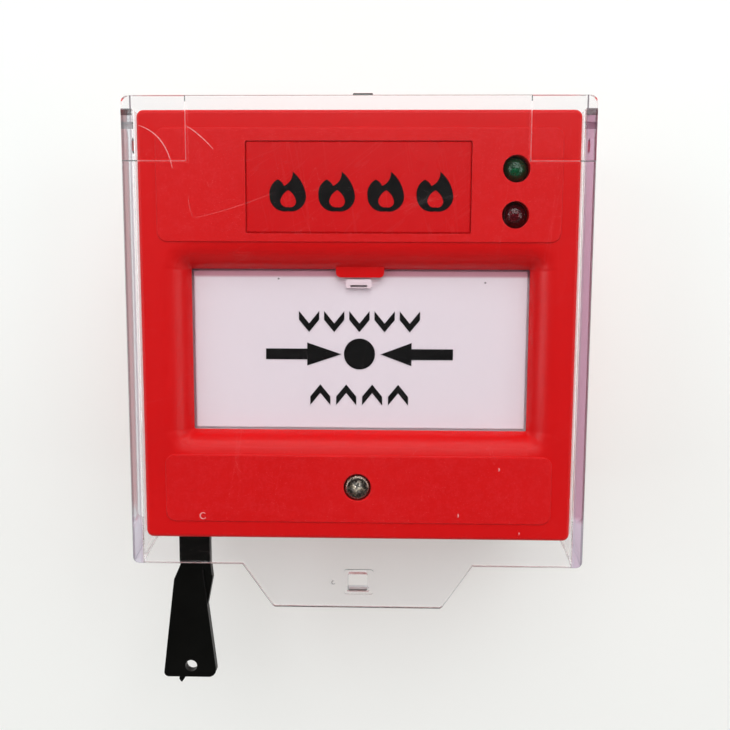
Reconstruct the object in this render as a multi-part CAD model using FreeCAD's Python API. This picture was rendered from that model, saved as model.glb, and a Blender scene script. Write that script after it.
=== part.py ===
import FreeCAD, Part
import math
import os
from FreeCAD import Vector as V

# Manual call point with a hinged clear cover and a reset key, millimetres.
# X runs to the right, Z runs up and +Y runs into the wall.
# The origin is the centre of the back face, which lies on the wall at y = 0.
os.makedirs("parts", exist_ok=True)

# ---- driving dimensions --------------------------------------------------------------------
WIDTH = 86.0                     # the square wall-plate size that fits a standard wall box
HEIGHT = 85.0
CORNER = 1.4
FIXING_SPACING = 60.3            # two wall screws on the level centre line
FIXING_R = 2.2
CABLE_R = 10.0
CABLE_Z = 20.0

BOX_DEPTH = 22.0
BOX_WALL = 2.2
BOX_FLOOR = 2.5
SEAL = 1.0
CASE_WALL = 2.4
BORDER_Y = -45.75                # plain border of the red front
PANEL_Y = -46.0                  # raised, grained panels
CASE_REAR = -(BOX_DEPTH + SEAL)
INNER_Y = BORDER_Y + CASE_WALL
INNER_X = WIDTH / 2 - CASE_WALL
INNER_Z = HEIGHT / 2 - CASE_WALL

WINDOW = (-33.55, 34.35, -20.65, 12.05)   # x from, x to, z from, z to of the opening
WINDOW_Y = -41.85                     # rear face of the window rim
WINDOW_FLARE = 1.38                  # the slope's width at the border, before rounding
WINDOW_ROUND = 5.7

PLATE_Y = -41.55                      # front of the white press plate
PLATE_T = 2.0
PAD = 0.6                             # the pad stands this far in front of the plate's flange
PAD_GAP = 0.35                        # dark gap round the pad, inside the window
PIVOT_Y = -37.5
PIVOT_Z = -20.6
PIVOT_R = 1.0
RUNNING = 0.05                        # radial clearance of every small pin

LAMP_X = 30.55
LAMP_Z = (31.3, 22.55)
LAMP_HOLE_R = 2.63
LAMP_R = 2.45

SCREW_X = 0.1
SCREW_Z = -31.7
M3_R = 1.5

HINGE_Y = -27.0
HINGE_Z = 37.5
PIP_R = 1.6
COVER_X = 45.25
COVER_T = 2.0
COVER_WALL_TOP = 42.2                 # the side walls stop here; the front runs on above them
COVER_TOP = 44.7
COVER_BOTTOM = -47.3
COVER_FRONT = -48.3
COVER_PANEL = 1.6

KEY_Y = (-36.9, -35.1)
FRAME_Y = (-25.2, -24.0)
BOARD_Y = (-22.6, -21.0)
SLIDER_X = (-39.6, -37.4)
SLIDER_Y = (-37.6, -34.4)
LATCH_X = (-37.1, -35.9)
LATCH_Y = -29.2
LATCH_Z = -6.0
SWITCH_X = (12.0, 17.8)
SWITCH_Z = (-6.0, 6.8)
SWITCH_Y = (-31.7, -25.2)
LEVER_Y = -32.5
LEVER_Z = -5.5
LEVER_LEAN = 10.5                     # degrees, at rest
PLUNGER_Z = -1.5


# ---- small builders ------------------------------------------------------------------------
def box(x0, x1, y0, y1, z0, z1):
    return Part.makeBox(x1 - x0, y1 - y0, z1 - z0, V(x0, y0, z0))


def cyl_y(x, z, y0, y1, r):
    return Part.makeCylinder(r, y1 - y0, V(x, y0, z), V(0, 1, 0))


def cyl_x(y, z, x0, x1, r):
    return Part.makeCylinder(r, x1 - x0, V(x0, y, z), V(1, 0, 0))


def cyl_z(x, y, z0, z1, r):
    return Part.makeCylinder(r, z1 - z0, V(x, y, z0), V(0, 0, 1))


def cone_y(x, z, y0, y1, r0, r1):
    return Part.makeCone(r0, r1, y1 - y0, V(x, y0, z), V(0, 1, 0))


def fuse(first, *others):
    return first.multiFuse(list(others)).removeSplitter()


def cut(first, *others):
    return first.cut(Part.makeCompound(list(others))) if others else first


def outline_xz(points, y):
    return Part.makePolygon([V(x, y, z) for x, z in points + points[:1]])


def prism_y(points, y0, y1):
    return Part.Face(outline_xz(points, y0)).extrude(V(0, y1 - y0, 0))


def prism_x(points, x0, x1):
    wire = Part.makePolygon([V(x0, y, z) for y, z in points + points[:1]])
    return Part.Face(wire).extrude(V(x1 - x0, 0, 0))


def round_rect(x0, x1, z0, z1, r, y):
    """Rounded rectangle standing in the plane at y."""
    k = r * (1 - math.sqrt(0.5))
    edges = []
    corners = [((x1 - r, z0), (x1 - k, z0 + k), (x1, z0 + r)),
               ((x1, z1 - r), (x1 - k, z1 - k), (x1 - r, z1)),
               ((x0 + r, z1), (x0 + k, z1 - k), (x0, z1 - r)),
               ((x0, z0 + r), (x0 + k, z0 + k), (x0 + r, z0))]
    for i, corner in enumerate(corners):
        a, m, b = [V(x, y, z) for x, z in corner]
        nxt = corners[(i + 1) % 4][0]
        edges.append(Part.Arc(a, m, b).toShape())
        edges.append(Part.LineSegment(b, V(nxt[0], y, nxt[1])).toShape())
    return Part.Wire(edges)


def slab(x0, x1, z0, z1, y0, y1, r):
    return Part.Face(round_rect(x0, x1, z0, z1, r, y0)).extrude(V(0, y1 - y0, 0))


def edges_in_plane(shape, y, tol=1e-4):
    return [e for e in shape.Edges if abs(e.BoundBox.YMin - y) < tol and abs(e.BoundBox.YMax - y) < tol]


def coil(radius, wire_r, pitch, turns, start, direction):
    """Helical spring wire whose axis starts at a point and runs along a direction."""
    helix = Part.makeHelix(pitch, pitch * turns, radius)
    ring = Part.Wire(Part.makeCircle(wire_r, V(radius, 0, 0), V(0, 1, 0)))
    wire = Part.Wire(helix).makePipeShell([ring], True, True)
    turn = FreeCAD.Rotation(V(0, 0, 1), direction)
    wire.Placement = FreeCAD.Placement(start, turn)
    return wire


def screw_y(x, z, head_y, head_r, head_h, shank_r, shank_end, dome):
    """Cross-head screw along +Y; the head's face is at head_y."""
    head = cyl_y(x, z, head_y, head_y + head_h, head_r)
    head = head.makeFillet(dome, edges_in_plane(head, head_y))
    shank = cyl_y(x, z, head_y + head_h, shank_end, shank_r)
    shank = shank.makeChamfer(shank_r * 0.35, edges_in_plane(shank, shank_end))
    depth = head_h * 0.72
    arm, slot = head_r * 0.62, head_r * 0.17
    return cut(fuse(head, shank), *cross(x, z, head_y, depth, arm, slot))


def cross(x, z, y, depth, arm, slot):
    """Two tapered wings of a cross recess."""
    wings = []
    for across, up in ((arm, slot), (slot, arm)):
        mouth = round_rect(x - across, x + across, z - up, z + up, slot * 0.5, y - 0.02)
        foot = round_rect(x - across * 0.45, x + across * 0.45, z - up * 0.45, z + up * 0.45,
                          slot * 0.2, y + depth)
        wings.append(Part.makeLoft([mouth, foot], True, True))
    return wings


def rear_screw(x, z, face_y, head_r, head_h, shank_r, length):
    """The same screw driven from the rear: its head stands on face_y and its shank runs to -Y."""
    screw = screw_y(0, 0, 0, head_r, head_h, shank_r, head_h + length, head_h * 0.4)
    screw.rotate(V(0, 0, 0), V(0, 0, 1), 180)
    screw.translate(V(x, face_y + head_h, z))
    return screw


# ---- wall box ------------------------------------------------------------------------------
def make_back_box():
    w, h = WIDTH / 2, HEIGHT / 2
    shell = slab(-w, w, -h, h, -BOX_DEPTH, 0, CORNER)
    room = slab(-w + BOX_WALL, w - BOX_WALL, -h + BOX_WALL, h - BOX_WALL, -BOX_DEPTH - 1, -BOX_FLOOR, 0.8)
    shell = cut(shell, room)
    boss = fuse(cyl_y(SCREW_X, SCREW_Z, -22.3, -BOX_FLOOR, 4.2),
                box(SCREW_X - 0.8, SCREW_X + 0.8, -18, -BOX_FLOOR, -h + BOX_WALL, SCREW_Z - 3.5))
    pads = [cyl_y(s * FIXING_SPACING / 2, 0, -4.0, -BOX_FLOOR, 4.6) for s in (-1, 1)]
    tongues = []
    for x in (-20.0, 20.0):
        tongues.append(box(x - 4, x + 4, -27.0, -8, 38.3, 39.8))
        tongues.append(box(x - 4, x + 4, -20.0, -8, 39.8, h - BOX_WALL + 0.2))
        tongues.append(prism_x([(-27.0, 39.8), (-25.4, 39.8), (-25.4, 40.4)], x - 4, x + 4))
    shell = fuse(shell, boss, *pads, *tongues)
    tools = [cyl_y(SCREW_X, SCREW_Z, -23, -6, 2.0), cyl_y(0, CABLE_Z, -4, 1, CABLE_R)]
    for s in (-1, 1):
        tools.append(cyl_y(s * FIXING_SPACING / 2, 0, -5, 1, FIXING_R))
        for x in (-18.0, 18.0):                      # conduit knock-outs, top and bottom
            ring = cyl_z(x, -12, -0.7, 0.7, 8.2).cut(cyl_z(x, -12, -2, 2, 7.6))
            ring.translate(V(0, 0, s * h))
            tools.append(ring)
        for x, z, half in ((22.0, -18.0, 13.0), (26.0, 18.0, 9.0)):   # pockets in the rear face
            tools.append(slab(s * x - half, s * x + half, z - 8, z + 8, -0.8, 1, 2))
    return cut(shell, *tools)


def make_housing_gasket():
    w, h = WIDTH / 2 - 0.6, HEIGHT / 2 - 0.6
    ring = slab(-w, w, -h, h, CASE_REAR, -BOX_DEPTH, CORNER)
    hole = slab(-w + 1.5, w - 1.5, -h + 1.5, h - 1.5, CASE_REAR - 1, 0, 0.6)
    return cut(ring, hole)


def make_screw_insert():
    """Brass thread insert with two knurled bands, pressed into the boss of the wall box."""
    body = cyl_y(SCREW_X, SCREW_Z, -22.3, -14.0, 1.95)
    bands = [cyl_y(SCREW_X, SCREW_Z, y, y + 2.4, 2.0) for y in (-21.9, -17.2)]
    return cut(fuse(body, *bands), cyl_y(SCREW_X, SCREW_Z, -24, -12, M3_R))


def make_screw_washer():
    ring = cyl_y(SCREW_X, SCREW_Z, -23.0, -22.4, 3.3)
    return cut(ring, cyl_y(SCREW_X, SCREW_Z, -24, -21, M3_R + 0.05))


def make_housing_screw():
    screw = screw_y(SCREW_X, SCREW_Z, -45.95, 2.6, 1.9, M3_R, -15.0, 0.8)
    screw.rotate(V(SCREW_X, 0, SCREW_Z), V(0, 1, 0), 20)      # as the driver left it
    return screw


# ---- red front case ------------------------------------------------------------------------
def frame_posts():
    """Places of the screws that hold the inner frame to the case: x, z."""
    return [(-37.4, 37.2), (37.4, 37.2), (-24.0, -30.0), (24.0, -30.0)]


def window_flare():
    x0, x1, z0, z1 = WINDOW
    f = WINDOW_FLARE
    depth = WINDOW_Y - BORDER_Y
    g = f * 1.0 / depth                                   # carry the slope past both faces
    mouth = round_rect(x0 - f - g, x1 + f + g, z0 - f - g, z1 + f + g, 1.2, BORDER_Y - 1.0)
    throat = round_rect(x0, x1, z0, z1, 0.3, WINDOW_Y)
    behind = slab(x0, x1, z0, z1, WINDOW_Y - 0.001, WINDOW_Y + 3, 0.3)
    return Part.makeLoft([mouth, throat], True, True), behind


def raised_panel(x0, x1, z0, z1, r):
    panel = slab(x0, x1, z0, z1, PANEL_Y, BORDER_Y + 0.5, r)
    return panel.makeFillet(0.22, edges_in_plane(panel, PANEL_Y))


def make_front_housing():
    w, h = WIDTH / 2, HEIGHT / 2
    shell = slab(-w, w, -h, h, BORDER_Y, CASE_REAR, CORNER)
    shell = shell.makeFillet(0.85, edges_in_plane(shell, BORDER_Y))
    room = slab(-INNER_X, INNER_X, -INNER_Z, INNER_Z, INNER_Y, CASE_REAR + 1, 0.6)
    shell = cut(shell, room)
    x0, x1, z0, z1 = WINDOW
    rim = slab(x0 - 3.6, x1 + 3.6, z0 - 3.6, z1 + 3.6, INNER_Y - 0.5, WINDOW_Y, 1.5)
    shell = fuse(shell, rim)
    shell = cut(shell, *window_flare())
    mouth = [e for e in edges_in_plane(shell, BORDER_Y)
             if e.BoundBox.XMin > -38 and e.BoundBox.XMax < 39 and abs(e.BoundBox.ZMin) < 30]
    shell = shell.makeFillet(WINDOW_ROUND, mouth)
    shell = fuse(shell, raised_panel(-39.3, 39.5, 17.2, 39.0, 2.0),
                 raised_panel(-38.7, 39.0, -39.0, -25.2, 2.0))
    inside = [cyl_y(SCREW_X, SCREW_Z, INNER_Y - 0.5, -23.2, 4.2)]
    for x, z in frame_posts():
        inside.append(cyl_y(x, z, INNER_Y - 0.5, FRAME_Y[0], 2.5))
    for z in LAMP_Z:
        inside.append(cyl_y(LAMP_X, z, INNER_Y - 0.5, -41.0, 3.7))
    lip = slab(-4.38, 5.25, 10.4, z1 + 1.5, -42.9, WINDOW_Y, 1.0)
    inside.append(lip)
    shell = fuse(shell, *inside)
    tools = [slab(-21.8, 22.0, 18.9, 36.55, PANEL_Y - 1, PANEL_Y + 0.95, 0.4),
             cyl_y(SCREW_X, SCREW_Z, -47, -44.05, 2.74),
             cone_y(SCREW_X, SCREW_Z, -46.01, -45.8, 2.95, 2.74),
             cyl_y(SCREW_X, SCREW_Z, -47, -20, M3_R + 0.2)]
    for z in LAMP_Z:
        tools.append(cyl_y(LAMP_X, z, -47, -43.0, LAMP_HOLE_R))
        tools.append(cyl_y(LAMP_X, z, -43.5, -40, 3.0))
    for x, z in frame_posts():
        tools.append(cyl_y(x, z, -33.5, FRAME_Y[0] + 1, 1.1))
    for s in (-1, 1):
        tools.append(cyl_x(HINGE_Y, HINGE_Z, s * w - 3, s * w + 3, PIP_R + 0.08))
    for x in (-20.0, 20.0):                                # catches of the wall box's tongues
        tools.append(box(x - 4.3, x + 4.3, -27.3, -25.1, INNER_Z - 0.1, INNER_Z + 0.7))
    tools.append(box(-38.85, -31.75, KEY_Y[0] - 0.25, KEY_Y[1] + 0.25, -h - 1, -INNER_Z + 1))
    return cut(shell, *tools)


def make_legend_plate():
    plate = slab(-21.75, 21.95, 18.95, 36.5, -45.9, -45.08, 0.38)
    return plate.makeChamfer(0.32, edges_in_plane(plate, -45.9))


def flame(cx, z0, scale_x, y0, y1):
    """Flat flame pictogram with a drop-shaped opening at its foot."""
    def at(x, z):
        return V(cx + x * scale_x, y0, z0 + z)
    outer = [((0, 0), (2.3, 0.9), (2.9, 2.9)), ((2.9, 2.9), (2.3, 5.3), (0.8, 7.5)),
             ((0.8, 7.5), (0.5, 5.9), (-0.6, 4.8)), ((-0.6, 4.8), (-0.9, 5.4), (-1.6, 6.0)),
             ((-1.6, 6.0), (-2.7, 4.6), (-2.9, 2.9)), ((-2.9, 2.9), (-2.3, 0.9), (0, 0))]
    inner = [((0.1, 0.75), (1.1, 1.1), (1.3, 2.0)), ((1.3, 2.0), (0.9, 3.1), (0.1, 4.0)),
             ((0.1, 4.0), (-0.8, 3.1), (-1.2, 2.0)), ((-1.2, 2.0), (-0.9, 1.1), (0.1, 0.75))]
    faces = []
    for arcs in (outer, inner):
        wire = Part.Wire([Part.Arc(at(*a), at(*m), at(*b)).toShape() for a, m, b in arcs])
        faces.append(Part.Face(wire).extrude(V(0, y1 - y0, 0)))
    return faces[0].cut(faces[1])


def make_legend_symbols():
    pitch, middle = 9.5, 0.7
    return Part.makeCompound([flame(middle + (i - 1.5) * pitch, 23.2, 1.22, -45.98, -45.9) for i in range(4)])


def make_lamp(z):
    body = cyl_y(LAMP_X, z, -43.45, -38.0, LAMP_R)
    dome = Part.makeSphere(LAMP_R, V(LAMP_X, -43.45, z))
    flange = cyl_y(LAMP_X, z, -40.9, -39.9, 2.9)
    return fuse(body, dome, flange)


def make_lamp_leads():
    wires = []
    for z in LAMP_Z:
        for s in (-1, 1):
            x = LAMP_X + s * 1.27
            wires.append(box(x - 0.25, x + 0.25, -38.0, -20.2, z - 0.25, z + 0.25))
    return Part.makeCompound(wires)


# ---- press plate ---------------------------------------------------------------------------
def make_press_plate():
    y1 = PLATE_Y + PLATE_T
    x0, x1, z0, z1 = WINDOW
    pad = slab(x0 + PAD_GAP, x1 - PAD_GAP, z0 + PAD_GAP, z1 - PAD_GAP, PLATE_Y, PLATE_Y + PAD + 0.1, 0.3)
    pad = pad.makeFillet(0.12, edges_in_plane(pad, PLATE_Y))
    plate = fuse(slab(-34.8, 35.4, -21.3, 13.0, PLATE_Y + PAD, y1, 0.6), pad)
    extras = []
    for x in (-31.0, -12.0, 8.0, 31.0):                   # pivot lugs
        lug = fuse(cyl_x(PIVOT_Y, PIVOT_Z, x - 1.5, x + 1.5, 2.0),
                   box(x - 1.5, x + 1.5, y1 - 0.4, PIVOT_Y, PIVOT_Z - 0.6, PIVOT_Z + 2.0))
        extras.append(lug)
    for z in (-14.0, 0.0, 11.0):                          # level stiffening ribs
        extras.append(box(-33.5, 34.0, y1 - 0.3, y1 + 1.2, z - 0.6, z + 0.6))
    for x in (-33.0, -14.0, 24.0, 33.4):                  # upright stiffening ribs
        extras.append(box(x - 0.6, x + 0.6, y1 - 0.3, y1 + 1.2, -17.5, 11.0))
    extras.append(box(13.0, 16.8, y1 - 0.3, -35.4, 6.0, 8.0))     # the rib that works the switch
    plate = fuse(plate, *extras)
    return cut(plate, cyl_x(PIVOT_Y, PIVOT_Z, -40, 40, PIVOT_R + RUNNING),
               box(-2.6, 2.6, y1 - 1.2, y1 + 1.3, 7.6, 10.4))


def make_plate_catch():
    """Small see-through catch in the top of the plate, under the lip of the case."""
    nose = slab(-2.4, 2.75, 8.3, 10.05, -42.6, PLATE_Y, 0.4)
    stem = box(-2.0, 2.0, PLATE_Y - 0.1, PLATE_Y + 0.8, 8.6, 9.8)
    return cut(fuse(nose, stem), box(-1.4, 1.75, -43.0, -42.05, 8.5, 8.9))


def cut_for_catch(plate):
    return cut(plate, box(-2.0, 2.0, PLATE_Y - 0.1, PLATE_Y + 0.8, 8.6, 9.8))


def arrow(direction, y0, y1):
    """Solid arrow that points to the dot from the left (direction 1) or the right (-1)."""
    z = -5.1
    tail, neck, tip = 19.0, 10.6, 3.98 - 0.34 * direction
    half_shaft, half_head = 1.1, 2.35
    pts = [(-tail, z - half_shaft), (-neck, z - half_shaft), (-neck, z - half_head), (-tip, z),
           (-neck, z + half_head), (-neck, z + half_shaft), (-tail, z + half_shaft)]
    return prism_y([(direction * x + 0.3, zz) for x, zz in pts], y0, y1)


def chevron(cx, tip_z, up, y0, y1):
    """Thick V mark, point towards the dot."""
    half, rise, stroke = 2.05, 2.5, 1.75
    pts = [(cx, tip_z), (cx + half, tip_z + up * rise), (cx + half, tip_z + up * (rise + stroke)),
           (cx, tip_z + up * stroke), (cx - half, tip_z + up * (rise + stroke)), (cx - half, tip_z + up * rise)]
    return prism_y(pts, y0, y1)


def make_press_symbols():
    y0, y1 = PLATE_Y - 0.1, PLATE_Y
    marks = [cyl_y(0.34, -5.05, y0, y1, 3.16), arrow(1, y0, y1), arrow(-1, y0, y1)]
    marks += [chevron(0.3 + (i - 2) * 5.1, -0.6, 1, y0, y1) for i in range(5)]
    marks += [chevron(0.3 + (i - 1.5) * 5.3, -11.3, -1, y0, y1) for i in range(4)]
    return Part.makeCompound(marks)


def make_pivot_pin():
    return cyl_x(PIVOT_Y, PIVOT_Z, -36.9, 37.4, PIVOT_R)


def make_return_spring():
    """Torsion spring round the pivot pin; one leg bears on the plate and one on the frame."""
    r, wire = 1.68, 0.2
    turns = coil(r, wire, 0.6, 6, V(-4.0, PIVOT_Y, PIVOT_Z), V(1, 0, 0))
    front = cyl_z(-4.0, PIVOT_Y - r, PIVOT_Z, PIVOT_Z + 5.5, wire)
    rear = Part.makeCylinder(wire, 6.6, V(-4.0 + 3.6, PIVOT_Y + r, PIVOT_Z), V(0, 0.85, -0.53))
    return Part.makeCompound([turns, front, rear])


# ---- inner frame ---------------------------------------------------------------------------
def make_element_frame():
    y0, y1 = FRAME_Y
    back = slab(-36.6, 37.0, -26.0, 36.0, y0, y1, 1.0)
    parts = []
    for x, z in frame_posts():
        parts.append(cyl_y(x, z, y0, y1, 2.9))
        inner = 34.0 if z > 0 else -24.0
        parts.append(box(min(x * 0.9, x), max(x * 0.9, x), y0, y1, min(z, inner), max(z, inner)))
        parts.append(box(min(x, 0.85 * x) - 1, max(x, 0.85 * x) + 1, y0, y1, min(z, inner), max(z, inner)))
    for x0, x1 in ((-36.6, -35.2), (36.0, 37.4)):         # ears of the pivot pin
        parts.append(box(x0, x1, -39.9, y1, -25.0, -18.0))
    parts.append(box(-1.6, 1.2, -33.0, y1, -26.0, -24.6))  # shelf for the spring's rear leg
    parts.append(box(-35.6, -34.2, -31.2, y1, LATCH_Z - 2.0, LATCH_Z + 2.0))
    for z0, z1 in ((-27.4, -25.2), (4.0, 6.6)):           # guides of the reset slider
        parts.append(box(-40.3, -36.2, -38.4, -33.6, z0, z1))
        parts.append(box(-40.3, -36.2, -33.7, y1, z0, z1))
    parts.append(box(-40.3, -36.2, -38.4, y1, 17.0, 18.6))  # seat of the slider spring
    for x, z in board_posts():
        parts.append(cyl_y(x, z, y1 - 0.2, BOARD_Y[0], 2.4))
    frame = fuse(back, *parts)
    tools = [cyl_x(PIVOT_Y, PIVOT_Z, -40, 40, PIVOT_R),
             cyl_x(LATCH_Y, LATCH_Z, -36, -30, PIVOT_R),
             box(SLIDER_X[0] - 0.25, SLIDER_X[1] + 0.25, SLIDER_Y[0] - 0.25, SLIDER_Y[1] + 0.25, -30, 10),
             slab(27.6, 33.6, 19.5, 34.0, y0 - 1, y1 + 1, 1.0),
             box(13.6, 16.2, y0 - 1, y1 + 1, -4.6, 5.4),
             slab(-22.0, 6.0, -15.0, 12.0, y0 - 1, y1 + 1, 2.0)]
    for x, z in frame_posts():
        tools.append(cyl_y(x, z, y0 - 1, y1 + 1, 1.3))
    for x, z in board_posts():
        tools.append(cyl_y(x, z, y0 - 1, 0, 0.9))
    return cut(frame, *tools)


def board_posts():
    return [(-22.0, 30.0), (22.0, 30.0), (-31.0, -21.0), (31.0, -21.0)]


def make_frame_screws():
    return Part.makeCompound([rear_screw(x, z, FRAME_Y[1], 2.2, 1.5, 1.1, 8.5) for x, z in frame_posts()])


def make_board_screws():
    return Part.makeCompound([rear_screw(x, z, BOARD_Y[1], 1.9, 1.2, 0.9, 3.6) for x, z in board_posts()])


# ---- reset gear ----------------------------------------------------------------------------
def make_reset_slider():
    x0, x1 = SLIDER_X
    y0, y1 = SLIDER_Y
    bar = box(x0, x1, y0, y1, -33.7, 9.0)
    foot = box(x0, -32.6, y0, y1, -33.7, -31.7)
    web = prism_y([(x1, -31.7), (x1 + 1.2, -31.7), (x1, -30.5)], y0, y1)
    peg = cyl_x(-36.5, LATCH_Z, x1 - 0.3, -35.8, 0.8)
    spigot = cyl_z(-38.5, -36.0, 8.8, 10.6, 0.8)
    return fuse(bar, foot, web, peg, spigot)


def make_slider_spring():
    return coil(1.25, 0.18, 1.0, 7.6, V(-38.5, -36.0, 9.2), V(0, 0, 1))


def make_latch_lever():
    """Bell crank: its fork rides on the slider's peg and its nose stands beside the plate."""
    x0, x1 = LATCH_X
    hub = cyl_x(LATCH_Y, LATCH_Z, x0, x1, 2.0)
    arm = box(x0, x1, -38.0, LATCH_Y, LATCH_Z - 2.0, LATCH_Z + 2.0)
    nose = prism_x([(LATCH_Y - 0.9, LATCH_Z), (LATCH_Y + 0.9, LATCH_Z), (LATCH_Y + 0.9, LATCH_Z + 6),
                    (LATCH_Y - 0.9, LATCH_Z + 6), (LATCH_Y - 2.6, LATCH_Z + 5.2), (LATCH_Y - 0.9, LATCH_Z + 4.2)],
                   x0, x1)
    slot = box(x0 - 1, x1 + 1, -39, -35.2, LATCH_Z - 1.1, LATCH_Z + 1.1)
    return cut(fuse(hub, arm, nose), slot, cyl_x(LATCH_Y, LATCH_Z, x0 - 1, x1 + 1, PIVOT_R + RUNNING))


def make_latch_pin():
    return cyl_x(LATCH_Y, LATCH_Z, -37.35, -34.2, PIVOT_R)


def make_reset_key():
    y0, y1 = KEY_Y
    outline = [(-38.6, -42.0), (-38.6, -51.7), (-40.1, -55.1), (-42.85, -77.35),
               (-31.0, -77.35), (-32.9, -61.0), (-31.7, -54.8), (-32.0, -51.7), (-32.0, -42.0)]
    blade = prism_y(outline, y0, y1)
    for x, radius in ((-42.85, 1.0), (-31.0, 1.7)):
        upright = [e for e in blade.Edges if e.BoundBox.YLength > 1 and abs(e.BoundBox.XMin - x) < 0.01]
        blade = blade.makeFillet(radius, upright)
    tip = prism_y([(-38.6, -42.5), (-32.0, -42.5), (-32.0, -39.4), (-33.2, -38.4), (-33.2, -34.6), (-33.8, -34.0),
                   (-37.0, -34.0), (-37.6, -34.6), (-37.6, -38.4), (-38.6, -39.4)], y0, y1)
    nub = prism_y([(-39.45, -77.2), (-38.1, -77.2), (-38.3, -77.9), (-38.9, -78.8), (-39.15, -78.75), (-39.55, -78.1)],
                  y0 + 0.5, y1 - 0.5)                              # broken-off gate
    key = fuse(blade, tip, nub)
    scoop = prism_y([(-33.9, -52.3), (-31.0, -54.8), (-31.5, -61.0), (-32.9, -61.0)], y0 - 1, y0 + 0.5)
    key = cut(key, cyl_y(-36.7, -74.8, -38, -34, 1.3), scoop)
    return key


# ---- switch and board ----------------------------------------------------------------------
def make_microswitch_body():
    x0, x1 = SWITCH_X
    z0, z1 = SWITCH_Z
    body = box(x0, x1, SWITCH_Y[0], SWITCH_Y[1], z0, z1)
    body = body.makeFillet(0.4, [e for e in body.Edges if e.BoundBox.XLength > 5])
    ears = [box(a, b, LEVER_Y - 0.8, SWITCH_Y[0] + 0.2, LEVER_Z - 0.7, LEVER_Z + 0.8)
            for a, b in ((x0, x0 + 0.8), (x1 - 0.8, x1))]
    tools = [cyl_x(LEVER_Y, LEVER_Z, x0 - 1, x1 + 1, 0.4),
             cyl_y((x0 + x1) / 2, PLUNGER_Z, SWITCH_Y[0] - 1, -29.4, 0.75),
             box(x0 - 1, x0 + 0.15, -31.9, -24.9, 0.55, 0.75)]
    for z in (-3.6, 4.4):
        tools.append(cyl_x(-27.0, z, x0 - 1, x1 + 1, 0.9))
    return cut(fuse(body, *ears), *tools)


def make_microswitch_plunger():
    x = sum(SWITCH_X) / 2
    stem = cyl_y(x, PLUNGER_Z, -32.95, -30.6, 0.7)
    return stem.makeFillet(0.3, edges_in_plane(stem, -32.95))


def make_switch_lever():
    """Thin spring-steel lever, leaning out towards the plate, rolled round its pin."""
    x0, x1 = SWITCH_X[0] + 1.0, SWITCH_X[1] - 1.0
    eye = cyl_x(LEVER_Y, LEVER_Z, x0, x1, 0.75)
    blade = box(x0, x1, LEVER_Y - 0.15, LEVER_Y + 0.15, LEVER_Z, LEVER_Z + 13.6)
    blade = blade.makeFillet(0.8, [e for e in blade.Edges if e.BoundBox.YLength > 0.2
                                   and e.BoundBox.ZMin > LEVER_Z + 13 and e.BoundBox.XLength < 0.1])
    blade.rotate(V(0, LEVER_Y, LEVER_Z), V(1, 0, 0), LEVER_LEAN)
    return cut(fuse(eye, blade), cyl_x(LEVER_Y, LEVER_Z, x0 - 1, x1 + 1, 0.4 + RUNNING))


def make_lever_pin():
    return cyl_x(LEVER_Y, LEVER_Z, SWITCH_X[0], SWITCH_X[1], 0.4)


def make_switch_terminals():
    x = sum(SWITCH_X) / 2
    return Part.makeCompound([box(x - 1.0, x + 1.0, SWITCH_Y[1], -19.6, z - 0.25, z + 0.25)
                              for z in (-4.0, 0.4, 4.8)])


def make_circuit_board():
    y0, y1 = BOARD_Y
    board = slab(-34.0, 34.0, -25.0, 34.5, y0, y1, 1.5)
    tools = [cyl_y(x, z, y0 - 1, y1 + 1, 1.0) for x, z in board_posts()]
    for z in LAMP_Z:
        for s in (-1, 1):
            tools.append(cyl_y(LAMP_X + s * 1.27, z, y0 - 1, y1 + 1, 0.5))
    for z in (-4.0, 0.4, 4.8):
        tools.append(box(13.8, 16.0, y0 - 1, y1 + 1, z - 0.4, z + 0.4))
    return cut(board, *tools)


def make_resistors():
    parts = []
    for x, z in ((-24.0, 20.0), (-24.0, 14.0), (-24.0, 8.0), (20.0, 14.0)):
        y = BOARD_Y[1] + 1.35
        body = Part.makeCylinder(1.1, 5.4, V(x - 2.7, y, z), V(1, 0, 0))
        caps = [cyl_x(y, z, x + a, x + b, 1.3) for a, b in ((-3.1, -1.7), (1.7, 3.1))]
        leads = [box(x + a, x + b, y - 0.25, y + 0.25, z - 0.25, z + 0.25) for a, b in ((-5.2, -3.0), (3.0, 5.2))]
        feet = [box(x + a, x + b, BOARD_Y[1], y + 0.25, z - 0.25, z + 0.25) for a, b in ((-5.2, -4.7), (4.7, 5.2))]
        parts.append(fuse(body, *caps, *leads, *feet))
    return Part.makeCompound(parts)


def make_capacitor():
    can = cyl_y(8.0, 26.0, BOARD_Y[1], BOARD_Y[1] + 8.0, 3.15)
    can = can.makeFillet(0.5, edges_in_plane(can, BOARD_Y[1] + 8.0))
    groove = cyl_y(8.0, 26.0, -19.6, -19.2, 4).cut(cyl_y(8.0, 26.0, -20, -19, 2.9))
    return cut(can, groove)


def make_driver_chip():
    body = box(-4.0, 4.0, BOARD_Y[1] + 0.2, BOARD_Y[1] + 2.0, 2.0, 6.0)
    legs = []
    for i in range(5):
        x = -2.54 + i * 1.27
        for z, s in ((2.0, -1), (6.0, 1)):
            legs.append(box(x - 0.2, x + 0.2, BOARD_Y[1], BOARD_Y[1] + 0.9, min(z, z + s), max(z, z + s)))
    return fuse(body, *legs)


def terminal_places():
    return [-12.5 + 5.0 * i for i in range(6)]


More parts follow.
